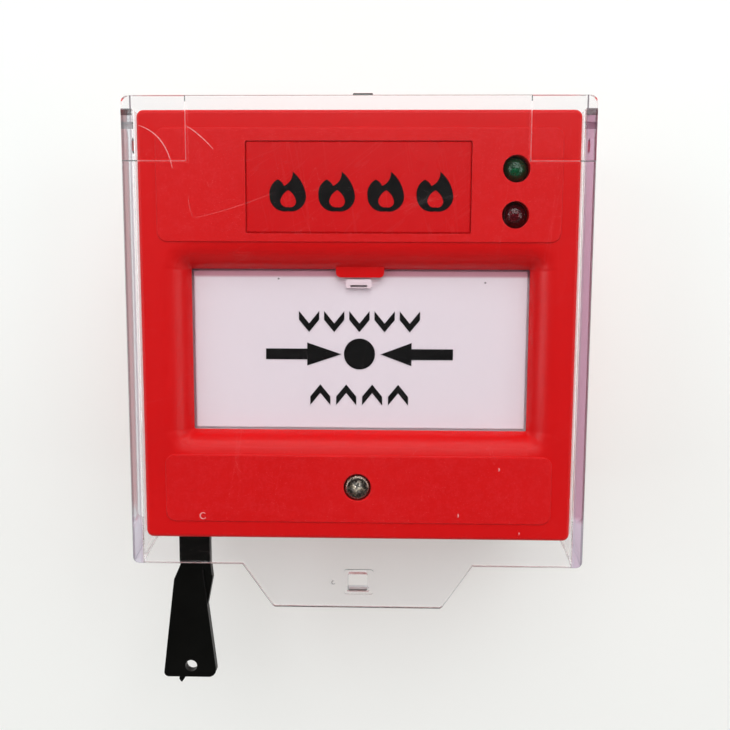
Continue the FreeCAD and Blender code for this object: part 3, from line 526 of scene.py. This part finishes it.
dress(front_screw(), "housing_screw")
dress(finish("zinc screws", (0.62, 0.63, 0.66), rough=0.32, metallic=1.0, patch=1.2, spread=0.12, edge=0.4,
             edge_width=0.12), "frame_screws", "board_screws", "terminal_screws")
dress(finish("steel pins", (0.58, 0.58, 0.59), rough=0.22, metallic=1.0, patch=2.0, spread=0.08), "pivot_pin",
      "latch_pin", "lever_pin")
dress(finish("spring steel", (0.46, 0.46, 0.47), rough=0.28, metallic=1.0, patch=1.0, spread=0.1),
      "return_spring", "slider_spring", "switch_lever")
dress(finish("knurled brass", (0.78, 0.56, 0.22), rough=0.3, metallic=1.0, patch=1.5, spread=0.12),
      "screw_insert", "wire_clamps")
dress(finish("tinned wire", (0.70, 0.70, 0.68), rough=0.35, metallic=1.0, patch=1.0, spread=0.1), "led_leads",
      "switch_terminals")
print("screw's middle, in mm:", tuple(round(c / MM, 2) for c in middle_of(nodes["housing_screw"])))

# %% [markdown]
# ## Black, white and board plastics
# These pieces are mostly hidden until the case is opened, but they still get the finish of the real
# thing: glass-filled nylon is dull and grained, acetal is waxy, a circuit board is green lacquer
# over woven glass. The key is in plain sight: smooth black with rubbed edges and pale dust.

# %% Other plastics
dress(finish("black key", (0.004, 0.004, 0.0035), rough=0.34, mirror=0.12, spread=0.25, patch=6.0,
             grain=0.006, pit=0.25, edge=0.35, edge_width=0.22, edge_colour=(0.07, 0.07, 0.07), dust=0.10),
      "reset_key")
dress(finish("seal rubber", (0.028, 0.028, 0.030), rough=0.78, grain=0.05, pit=0.5, spread=0.2),
      "housing_gasket")
dress(finish("black nylon", (0.030, 0.030, 0.032), rough=0.55, grain=0.03, pit=0.4, spread=0.2, edge=0.2),
      "element_frame")
dress(finish("white acetal", (0.80, 0.79, 0.74), rough=0.36, spread=0.03), "reset_slider", "latch_lever")
dress(finish("clear nylon", (0.70, 0.68, 0.60), rough=0.4, spread=0.05), "screw_washer")
dress(finish("black phenolic", (0.020, 0.020, 0.021), rough=0.48, grain=0.02, pit=0.3, spread=0.2),
      "microswitch_body", "driver_chip")
dress(finish("switch button", (0.62, 0.07, 0.04), rough=0.35), "microswitch_plunger")
dress(finish("board lacquer", (0.020, 0.17, 0.06), rough=0.28, grain=0.010, pit=0.9, spread=0.12, patch=6.0),
      "circuit_board")
dress(finish("resistor lacquer", (0.66, 0.50, 0.30), rough=0.35, spread=0.08, patch=2.0), "resistors")
dress(finish("capacitor sleeve", (0.025, 0.035, 0.09), rough=0.3, spread=0.1), "capacitor")
dress(finish("terminal polyamide", (0.035, 0.26, 0.09), rough=0.42, grain=0.01, pit=0.3, edge=0.2),
      "terminal_block")
print("finishes so far:", len(materials))

# %% [markdown]
# ## See-through pieces
# Glass in a path tracer blocks direct light, so whatever lies behind it turns dark and grainy. The
# usual cure is to let shadow rays and diffuse bounces pass as if the piece were a tinted film,
# while what the eye sees still bends and mirrors. The Light Path node makes that choice, and it
# stands in the material, next to the two shaders that it mixes.

# %% Builder for see-through finishes
def let_light_by(tree, shader, output, film=(1, 1, 1), behind=None):
    """Shadow rays and diffuse bounces, and what a further mask says, pass through a tinted film."""
    path = put(tree, "ShaderNodeLightPath")
    passing = largest(tree, path.outputs["Is Shadow Ray"], path.outputs["Is Diffuse Ray"])
    if behind is not None:
        passing = largest(tree, passing, behind)
    clear = put(tree, "ShaderNodeBsdfTransparent", {"Color": (*film, 1)})
    mix = put(tree, "ShaderNodeMixShader")
    wire(tree, passing, mix.inputs["Fac"])
    wire(tree, shader.outputs["BSDF"], mix.inputs[1])
    wire(tree, clear.outputs["BSDF"], mix.inputs[2])
    wire(tree, mix.outputs["Shader"], output.inputs["Surface"])


def see_through(name, colour, rough, film, weight=1.0, marks=None):
    material, tree, shader, output = blank(name)
    shader.inputs["Transmission Weight"].default_value = weight
    base = mottled(tree, colour, 25.0, 0.008)
    if marks is None:
        shader.inputs["Roughness"].default_value = rough
        wire(tree, base.outputs["Colour"], shader.inputs["Base Color"])
    else:
        roughness, tone, painted_glow = marks(tree, rough, base.outputs["Colour"])
        wire(tree, roughness, shader.inputs["Roughness"])
        wire(tree, tone, shader.inputs["Base Color"])
        # The marks' glow is painted light, given off by the surface itself
        wire(tree, painted_glow, shader.inputs["Emission Color"])
        shader.inputs["Emission Strength"].default_value = 1.0
    let_light_by(tree, shader, output, film)
    return material


# %% [markdown]
# ### The clear cover
# The cover is clear plastic: its faces mirror like window glass, and its edges, where the eye looks
# through the most plastic, go lilac. A path tracer could find such tones by absorption, but a thin
# wall needs strong absorption for it, and then every side wall darkens once the cover is open. So
# the tones lie only on the narrow strips that look forward, one mask for each part of the edge.
# Years of wiping add fine rubs and specks, which help the eye to find the sheet at all.

# %% Masks for the parts of the cover
cover_heights = [vertex.co.z / MM for vertex in nodes["clear_cover"].data.vertices]
COVER_TOP, COVER_FOOT = max(cover_heights), min(cover_heights)
# Where each part begins and where it is complete, in millimetres from the middle or along an axis
SIDE_WALL, WALL_TOP, WALL_REAR, WALL_FOOT = (43.0, 43.2), (42.3, 42.2), (-26.0, -22.6), (-36.5, -38.5)
FRONT_SKIN, FILLET_DEPTH, FILLET_SIDES = (-47.8, -47.9), (-47.9, -48.0), (42.0, 42.4)
FILLET_TOP, FILLET_FOOT = (43.4, 43.6), (-38.0, -38.4)
INNER_LINE, OUTER_LINE, END_SHADE = (43.25, 43.5), (44.75, 45.1), (41.0, 42.2)


def cover_masks(tree):
    """Masks by name, each one on its own part of the cover and zero elsewhere."""
    at, facing = axes_of(tree), axes_of(tree, "Normal")
    out = math_node(tree, "ABSOLUTE", at["X"])
    toward = math_node(tree, "ABSOLUTE", facing["Y"])
    side, front = ramp_mm(tree, out, *SIDE_WALL), ramp_mm(tree, at["Y"], *FRONT_SKIN)
    flat_front = times(tree, front, ramp(tree, toward, 0.6, 0.9))
    rounded = ramp(tree, toward, 0.97, 0.80)
    rim = times(tree, ramp_mm(tree, at["Y"], *FILLET_DEPTH),
                largest(tree, ramp_mm(tree, at["Z"], *FILLET_TOP), ramp_mm(tree, at["Z"], *FILLET_FOOT),
                        ramp_mm(tree, out, *FILLET_SIDES)))
    ends = largest(tree, ramp_mm(tree, at["Z"], COVER_TOP - 0.36, COVER_TOP - 0.28),
                   ramp_mm(tree, at["Z"], COVER_FOOT + 0.34, COVER_FOOT + 0.26))
    walled = times(tree, side, ramp_mm(tree, at["Z"], *WALL_TOP))
    return {
        "right": math_node(tree, "GREATER_THAN", at["X"], 0.0),
        "foot": ramp_mm(tree, at["Z"], *WALL_FOOT),
        "rear": ramp_mm(tree, at["Y"], *WALL_REAR),
        "top": times(tree, ramp(tree, facing["Z"], 0.5, 0.8), side),
        "cut_face": times(tree, ramp(tree, toward, 0.75, 0.35), without(tree, side)),
        "step": times(tree, rounded, front, without(tree, rim)),
        "outline": largest(tree, times(tree, rounded, rim), times(tree, ends, front)),
        "strip": times(tree, walled, flat_front),
        "inner_line": times(tree, band(tree, out, *INNER_LINE), flat_front),
        "outer_line": times(tree, band(tree, out, *OUTER_LINE), flat_front, walled),
        "end_shade": times(tree, band(tree, at["Z"], *END_SHADE), side, flat_front),
    }


print("cover reaches from", round(COVER_FOOT, 2), "to", round(COVER_TOP, 2), "mm")

# %% [markdown]
# ### Roughness, tone and painted glow of the cover
# Three things change over the cover. Cut and rounded edges are rougher than the moulded faces. The
# tone is what the plastic does to the light behind it, and it gets darker lines where a strip meets
# a face. The glow is painted light: the thick edges, the steps and the rubs give off a faint light of
# their own in place of the light they scatter back, and on the right the tone and the glow are
# warmer, a painted reflection of the red case close behind.

# %% Clear cover and lamp lenses
CUT_TONE, LINE_TONE, SHADE_TONE = (0.62, 0.64, 0.66, 1), (0.10, 0.08, 0.10, 1), (0.03, 0.028, 0.03, 1)
RIM_TONE, OUTLINE_TONE = (0.07, 0.06, 0.07, 1), (0.03, 0.06, 0.06, 1)
# The right strip's warmer tone is a painted reflection of the red case; the glows are painted light
STRIP_TONES = (0.21, 0.25, 0.27, 1), (0.15, 0.075, 0.12, 1)
PAINTED_STRIP_GLOWS, PAINTED_FOOT_GLOW = ((0.26, 0.25, 0.26, 1), (0.15, 0.055, 0.09, 1)), (0.36, 0.33, 0.39, 1)
PAINTED_STEP_GLOW, PAINTED_RUB_GLOW = (0.12, 0.065, 0.065, 1), (0.16, 0.12, 0.12, 1)


def wiped(tree, rough, base):
    """Roughness, tone and painted glow of the cover, for a base roughness and colour."""
    on = cover_masks(tree)
    rubs = place_group(tree, rub_group, {"Spacing": 5.0, "Fineness": 0.0012, "Turn": 1.1}).outputs["Mask"]
    rougher = largest(tree, times(tree, rubs, 0.06), specks_of(tree, 7.0, 0.04, 0.10, 0.5),
                      times(tree, on["cut_face"], 0.45), times(tree, on["rear"], 0.5),
                      times(tree, on["top"], 0.7), times(tree, on["step"], 0.4))
    roughness = math_node(tree, "ADD", rougher, rough)
    tone = layers(tree, base, (on["cut_face"], CUT_TONE),
                  (on["strip"], mix_colour(tree, on["right"], *STRIP_TONES)), (on["inner_line"], LINE_TONE),
                  (on["end_shade"], SHADE_TONE), (on["outer_line"], RIM_TONE), (on["outline"], OUTLINE_TONE))
    # Painted glow: strips, foot, steps and rubs give off light of their own, warmer on the right as a painted
    # reflection
    glow = times(tree, on["strip"], without(tree, times(tree, on["end_shade"], 0.75)),
                 without(tree, times(tree, on["outer_line"], 0.35)))
    painted_glow_colour = layers(tree, mix_colour(tree, on["right"], *PAINTED_STRIP_GLOWS), (on["foot"], PAINTED_FOOT_GLOW))
    painted_glow = layers(tree, (0, 0, 0, 1), (glow, painted_glow_colour), (on["step"], PAINTED_STEP_GLOW),
                  (times(tree, rubs, 0.05), PAINTED_RUB_GLOW))
    return roughness, tone, painted_glow


dress(see_through("clear plastic", (0.996, 0.986, 0.992), 0.01, (0.992, 0.985, 0.992), marks=wiped),
      "clear_cover")
dress(see_through("green lens", (0.008, 0.15, 0.055), 0.10, (0.05, 0.3, 0.12), weight=0.75), "green_led")
dress(see_through("red lens", (0.14, 0.008, 0.016), 0.10, (0.4, 0.05, 0.06), weight=0.75), "red_led")
print("see-through pieces: clear_cover, green_led, red_led")

# %% [markdown]
# ### The small catch
# The catch under the window's lip is pale plastic with a slot in its face. It is only a few
# millimetres wide, so light hardly reaches into the slot, and a darker band of colour there helps
# the small relief to read from a distance.

# %% Catch
CATCH_WHITE, SLOT_SHADE = (0.90, 0.74, 0.79), (0.36, 0.29, 0.31, 1)
SLOT_HEIGHTS, SLOT_WIDTH = (8.5, 8.9), (-1.5, 1.85)


def milky_catch():
    material, tree, shader, _ = blank("milky catch")
    shader.inputs["Roughness"].default_value = 0.25
    at = axes_of(tree)
    slot = times(tree, band(tree, at["Z"], *SLOT_HEIGHTS), band(tree, at["X"], *SLOT_WIDTH))
    base = mottled(tree, CATCH_WHITE, 2.0, 0.08).outputs["Colour"]
    wire(tree, mix_colour(tree, slot, base, SLOT_SHADE), shader.inputs["Base Color"])
    return material


dress(milky_catch(), "plate_catch")
print("finishes so far:", len(materials))

# %% [markdown]
# ## Metal inside the lamps
# Each lamp is a clear coloured lens cast round bits of plated steel: a tiny reflector cup with the
# chip in it, and beside it a slim post, from which a bond wire arches over to the chip. They could
# be left out behind such dark lenses, but they give the glint in the middle. The cup is turned from
# a short outline, and the post and the wire are thin tubes swept along a line.

# %% Cup, posts and bond wire of each lamp
def mesh_piece(name, verts, faces, material, body):
    mesh = bpy.data.meshes.new(name)
    mesh.from_pydata([tuple(v) for v in verts], [], faces)
    mesh.validate()
    piece = bpy.data.objects.new(name, mesh)
    bpy.context.scene.collection.objects.link(piece)
    mesh.materials.append(material)
    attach(piece, body)
    return piece


def wrapped(rings, around):
    """Four-sided faces between rings of points, each ring closed on itself."""
    return [(i * around + k, i * around + (k + 1) % around, (i + 1) * around + (k + 1) % around,
             (i + 1) * around + k) for i in range(rings - 1) for k in range(around)]


def turned(outline, centre, steps=28):
    """Turns an outline of (radius, y) points, in millimetres, round an axis along Y."""
    verts = [(centre.x + r * MM * math.cos(a), y * MM, centre.z + r * MM * math.sin(a))
             for r, y in outline for a in (2 * math.pi * k / steps for k in range(steps))]
    return verts, wrapped(len(outline), steps)


def tube_along(path, radius, sides=8):
    """A closed round tube through points in metres."""
    verts = []
    for i, point in enumerate(path):
        ahead = (path[min(i + 1, len(path) - 1)] - path[max(i - 1, 0)]).normalized()
        across = ahead.orthogonal().normalized()
        above = ahead.cross(across)
        for k in range(sides):
            angle = 2 * math.pi * k / sides
            verts.append(point + (across * math.cos(angle) + above * math.sin(angle)) * radius)
    faces = wrapped(len(path), sides)
    faces.append(tuple(reversed(range(sides))))
    faces.append(tuple(range((len(path) - 1) * sides, len(path) * sides)))
    return verts, faces


silver = finish("lamp silver", (0.86, 0.85, 0.82), rough=0.2, metallic=1.0, patch=0.5, spread=0.1)
CUP_FACE, CUP_BACK, CHIP_Y, CHIP_THICK = -44.0, -42.6, -43.45, 0.12
CUP_RADIUS, CUP_LIP, CUP_FLOOR, CHIP_RADIUS = 0.85, 0.72, 0.35, 0.16
POST_ASIDE, POST_RADIUS, WIRE_RADIUS, WIRE_RISE = 1.05, 0.2, 0.035, 0.45


def lamp_metal(colour):
    centre = middle_of(nodes[colour + "_led"])
    outline = [(0.0, CUP_BACK), (0.45, CUP_BACK), (CUP_RADIUS, CUP_FACE + 0.1), (CUP_RADIUS, CUP_FACE),
               (CUP_LIP, CUP_FACE), (CUP_FLOOR, CHIP_Y), (CHIP_RADIUS, CHIP_Y),
               (CHIP_RADIUS, CHIP_Y - CHIP_THICK), (0.0, CHIP_Y - CHIP_THICK)]
    cup = mesh_piece(colour + "_lamp_cup", *turned(outline, centre), silver, "case")
    for face in cup.data.polygons:
        face.use_smooth = True
    start = Vector((centre.x, (CHIP_Y - 0.10) * MM, centre.z))
    end = Vector((centre.x + POST_ASIDE * MM, (CUP_FACE + 0.4) * MM, centre.z))
    arch = [start.lerp(end, t) + Vector((0, -WIRE_RISE * MM * math.sin(math.pi * t), 0)) for t in
            (k / 10 for k in range(11))]
    mesh_piece(colour + "_lamp_wire", *tube_along(arch, WIRE_RADIUS * MM), silver, "case")
    post = [end + Vector((0, shift * MM, 0)) for shift in (-0.05, 0.5, 1.2)]
    mesh_piece(colour + "_lamp_post", *tube_along(post, POST_RADIUS * MM), silver, "case")
    return round(centre.x / MM, 2), round(centre.z / MM, 2)


for colour in ("green", "red"):
    print(colour, "lamp at", lamp_metal(colour))

# %% [markdown]
# ## Springs as pieces of their own
# In the imported model a spring is a stiff coil that only stands in for the real one. Here each gets
# a free copy of its mesh as a piece of its own, and the imported coil is hidden: the slider's spring
# rides with the case on a mesh of its own, and the plate's torsion spring is baked where it stands.
# The coils are right already, so the new pieces start from their meshes.

# %% Springs
def stand_in(node_name):
    """A free copy of a CAD node's mesh, shown in its place."""
    node = nodes[node_name]
    mesh = node.data.copy()
    mesh.transform(node.matrix_world)
    piece = bpy.data.objects.new(node_name + "_wire", mesh)
    bpy.context.scene.collection.objects.link(piece)
    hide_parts(node_name)
    return piece


slider_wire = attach(stand_in("slider_spring"), "case")
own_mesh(slider_wire)
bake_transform(stand_in("return_spring"))

# %% [markdown]
# ## Marks of use on the cover
# Two deep scratches curve in from the upper left corner, two faint ones lie below them, a drop has
# dried into a small ring, the tab has a little ring too, and a few flecks stick to the plastic.
# Noise can't give marks that sit in one place, so each is a thin ribbon laid through a few points,
# set just under the surface so that nothing stands proud of the cover. They ride on the cover and
# swing away with it. Two specks of dust are made the same way, and they stay on the press plate.

# %% Scratches, rings and flecks
MARK_Y, MARK_THICK = -48.0, 0.02
PLATE_DUST_Y = -41.56


def scratch_white(name, colour, cover):
    """A thin broken film of colour that hides what lies behind it by at most this share."""
    material, tree, shader, _ = blank(name)
    shader.inputs["Roughness"].default_value = 0.7
    shader.inputs["Base Color"].default_value = (*colour, 1)
    breaks = put(tree, "ShaderNodeTexNoise", {"Scale": 1500.0, "Detail": 2.0})
    place = put(tree, "ShaderNodeTexCoord")
    wire(tree, place.outputs["Object"], breaks.inputs["Vector"])
    wire(tree, ramp(tree, breaks.outputs["Fac"], 0.3, 0.6, cover * 0.6, cover), shader.inputs["Alpha"])
    return material


def curve_through(a, b, c, steps=14):
    """A smooth line that starts at a, passes b half way and ends at c."""
    pull = b * 2 - (a + c) / 2
    return [a.lerp(pull, t).lerp(pull.lerp(c, t), t) for t in (k / steps for k in range(steps + 1))]


def ribbon(name, line, width, material, body, y=MARK_Y):
    """A flat strip along a line of (x, z) points, narrower at both ends, all in millimetres."""
    verts, faces = [], []
    for i, point in enumerate(line):
        ahead = (line[min(i + 1, len(line) - 1)] - line[max(i - 1, 0)]).normalized()
        fullness = 0.35 + 0.65 * math.sin(math.pi * i / (len(line) - 1))
        across = Vector((-ahead.y, ahead.x)) * width / 2 * fullness
        for depth in (0.0, MARK_THICK):
            for place in (point + across, point - across):
                verts.append((place.x * MM, (y + depth) * MM, place.y * MM))
    for i in range(len(line) - 1):
        n = 4 * i
        for p, q in ((0, 1), (1, 3), (3, 2), (2, 0)):
            faces.append((n + p, n + q, n + 4 + q, n + 4 + p))
    last = 4 * (len(line) - 1)
    faces += [(0, 2, 3, 1), (last, last + 1, last + 3, last + 2)]
    return mesh_piece(name, verts, faces, material, body)


def arc_line(centre, radius, start, end, steps=16):
    turns = (math.radians(start + (end - start) * k / steps) for k in range(steps + 1))
    return [Vector((centre[0] + radius * math.cos(a), centre[1] + radius * math.sin(a))) for a in turns]


pale = scratch_white("scratch", (0.95, 0.42, 0.42), 0.75)
faint = scratch_white("faint scratch", (0.9, 0.4, 0.4), 0.13)
for name, points, width, material in (
        ("scratch_outer", ((-41.86, 39.12), (-37.71, 36.33), (-35.52, 31.10)), 0.20, pale),
        ("scratch_inner", ((-32.85, 39.11), (-30.21, 37.26), (-27.57, 34.65)), 0.18, pale),
        ("scratch_faint_down", ((-32.55, 26.02), (-32.35, 23.80), (-31.67, 21.66)), 0.12, faint),
        ("scratch_faint_across", ((-31.67, 21.66), (-23.90, 23.70), (-15.78, 26.61)), 0.12, faint)):
    ribbon(name, curve_through(*(Vector(p) for p in points)), width, material, "cover")
ribbon("dried_drop", arc_line((-30.8, -37.32), 0.62, 40, 330), 0.24, pale, "cover")
grey_mark = scratch_white("grey mark", (0.25, 0.24, 0.25), 0.7)
ribbon("tab_ring", arc_line((-4.6, -50.9), 0.34, 60, 350), 0.16, grey_mark, "cover")
for number, (x, z, length) in enumerate(((28.2, -27.32, 0.7), (20.27, -36.76, 0.8), (32.47, -40.31, 0.5))):
    line = curve_through(Vector((x, z + length / 2)), Vector((x + 0.06, z)), Vector((x, z - length / 2)), 6)
    ribbon("fleck_%d" % number, line, 0.26, pale, "cover")
dark_dust = scratch_white("dark dust", (0.02, 0.02, 0.02), 0.95)
for number, (x, z) in enumerate(((-16.02, 10.10), (25.56, 9.42))):
    line = curve_through(Vector((x - 0.22, z - 0.04)), Vector((x, z + 0.03)), Vector((x + 0.2, z + 0.02)), 6)
    ribbon("plate_dust_%d" % number, line, 0.30, dark_dust, "press_plate", y=PLATE_DUST_Y)

# %% [markdown]
# ## The wall
# The unit hangs on a plain painted wall, a single sheet. Seen from behind the wall is left out, so
# that the back of the unit can be looked at, and it lets shadow rays and bounces through, so that
# the back is lit as well. Lights alone would leave such a wall grey, so its paint gives off some
# light of its own, more at the height of the unit than below it.

# %% Wall
WALL_GAP, WALL_HALF, WALL_LOW = 0.0004, 1.2, -0.9
PAINT, LOW_GLOW, HIGH_GLOW = (0.605, 0.62, 0.615), (0.335, 0.332, 0.312, 1), (0.40, 0.42, 0.405, 1)
GLOW_HEIGHTS = (-70, 40)


def wall_paint():
    material, tree, shader, output = blank("wall paint")
    shader.inputs["Roughness"].default_value = 0.9
    shader.inputs["Specular IOR Level"].default_value = 0.2
    wire(tree, mottled(tree, PAINT, 160.0, 0.006).outputs["Colour"], shader.inputs["Base Color"])
    height = ramp_mm(tree, axes_of(tree)["Z"], *GLOW_HEIGHTS)
    wire(tree, mix_colour(tree, height, LOW_GLOW, HIGH_GLOW), shader.inputs["Emission Color"])
    shader.inputs["Emission Strength"].default_value = 1.0
    geometry = put(tree, "ShaderNodeNewGeometry")
    let_light_by(tree, shader, output, behind=geometry.outputs["Backfacing"])
    return material


def hang_wall():
    mesh = bpy.data.meshes.new("wall")
    corners = [(-WALL_HALF, WALL_LOW), (WALL_HALF, WALL_LOW), (WALL_HALF, WALL_HALF), (-WALL_HALF, WALL_HALF)]
    mesh.from_pydata([(x, WALL_GAP, z) for x, z in corners], [], [(0, 1, 2, 3)])
    mesh.materials.append(wall_paint())
    wall = bpy.data.objects.new("wall", mesh)
    bpy.context.scene.collection.objects.link(wall)
    return wall


print(hang_wall().name, "hung,", 2 * WALL_HALF, "m wide")

# %% [markdown]
# ## The lights
# The light is soft and falls mostly from above, so the unit's shadow lies under it. One big square
# lamp does that, and two smaller ones at the sides keep the cover's edges from going dull. Small
# bright lamps would draw hard glints on the plastic instead.

# %% Lights
# Name, place and size in metres, watts and colour
LAMPS = (("ceiling_light", (0.10, -0.93, 0.80), 1.15, 9.8, (1.0, 0.995, 0.99)),
         ("left_window", (-1.0, -0.80, 0.10), 0.7, 3.4, (0.97, 0.98, 1.0)),
         ("right_fill", (1.0, -0.80, 0.05), 0.7, 3.2, (1.0, 0.985, 0.975)))
for name, place, size, power, colour in LAMPS:
    light = bpy.data.lights.new(name, "AREA")
    light.shape, light.size, light.energy, light.color = "SQUARE", size, power, colour
    lamp = bpy.data.objects.new(name, light)
    lamp.location = place
    lamp.rotation_euler = (-Vector(place)).to_track_quat("-Z", "Y").to_euler()
    bpy.context.scene.collection.objects.link(lamp)
print("lamps:", [name for name, *_ in LAMPS])

# %% [markdown]
# ## The room
# Besides the lamps a room gives light from everywhere, a little more from its ceiling. The front
# of this room is much darker than the rest, because a bright room behind the viewer would mirror in
# the flat cover and wash out the red. Only light that was mirrored twice still finds it bright,
# which keeps the cover's edges clear. What the viewer sees past the wall is pale.

# %% Room light
ROOM_PALE, DARKENED = (0.86, 0.86, 0.85, 1), 0.95


def room_light():
    world = bpy.data.worlds.new("pale room")
    bpy.context.scene.world = world
    world.use_nodes = True
    tree = world.node_tree
    tree.nodes.clear()
    out = put(tree, "ShaderNodeOutputWorld")
    sky = put(tree, "ShaderNodeBackground", {"Strength": 1.0})
    wire(tree, sky.outputs["Background"], out.inputs["Surface"])
    way = axes_of(tree, "Generated")
    front = times(tree, ramp(tree, way["Y"], -0.35, -0.80), ramp(tree, way["Z"], 0.55, 0.10))
    level = ramp(tree, way["Z"], -0.6, 0.9, 0.52, 0.76)
    path = put(tree, "ShaderNodeLightPath")
    single = math_node(tree, "LESS_THAN", path.outputs["Glossy Depth"], 1.5)
    dark = math_node(tree, "MULTIPLY_ADD", times(tree, front, single), -DARKENED, 1.0)
    seen = mix_colour(tree, path.outputs["Is Camera Ray"], times(tree, level, dark), ROOM_PALE)
    wire(tree, seen, sky.inputs["Color"])


room_light()
bpy.context.scene.view_settings.view_transform = "Standard"
print("world:", bpy.context.scene.world.name)

# %% [markdown]
# ## The camera
# The viewer stands close in front of the unit, level with the top of its window, and looks a little
# down and to the left. A camera could be aimed with a constraint, but here the place, the three angles and
# the lens are plain values, so that each can be nudged without moving the others.

# %% Camera
CAMERA_PLACE = Vector((5.015, -200.77, 9.90)) * MM
LOOK_DOWN, LOOK_RIGHT, TILT = math.radians(6.18), math.radians(-1.28), math.radians(0.237)
SENSOR_WIDTH, LENS = 36.0, 38.663


def camera():
    ahead = Vector((math.sin(LOOK_RIGHT) * math.cos(LOOK_DOWN), math.cos(LOOK_RIGHT) * math.cos(LOOK_DOWN),
                    -math.sin(LOOK_DOWN)))
    level = Vector((math.cos(LOOK_RIGHT), -math.sin(LOOK_RIGHT), 0))
    above = level.cross(ahead)
    right = level * math.cos(TILT) + above * math.sin(TILT)
    up = above * math.cos(TILT) - level * math.sin(TILT)
    data = bpy.data.cameras.new("viewer")
    data.sensor_width, data.lens = SENSOR_WIDTH, LENS
    data.clip_start = 0.01
    eye = bpy.data.objects.new("viewer", data)
    eye.matrix_world = Matrix((right, up, -ahead)).transposed().to_4x4()
    eye.location = CAMERA_PLACE
    bpy.context.scene.collection.objects.link(eye)
    bpy.context.scene.camera = eye


camera()
print("camera set, lens", round(bpy.context.scene.camera.data.lens, 2))
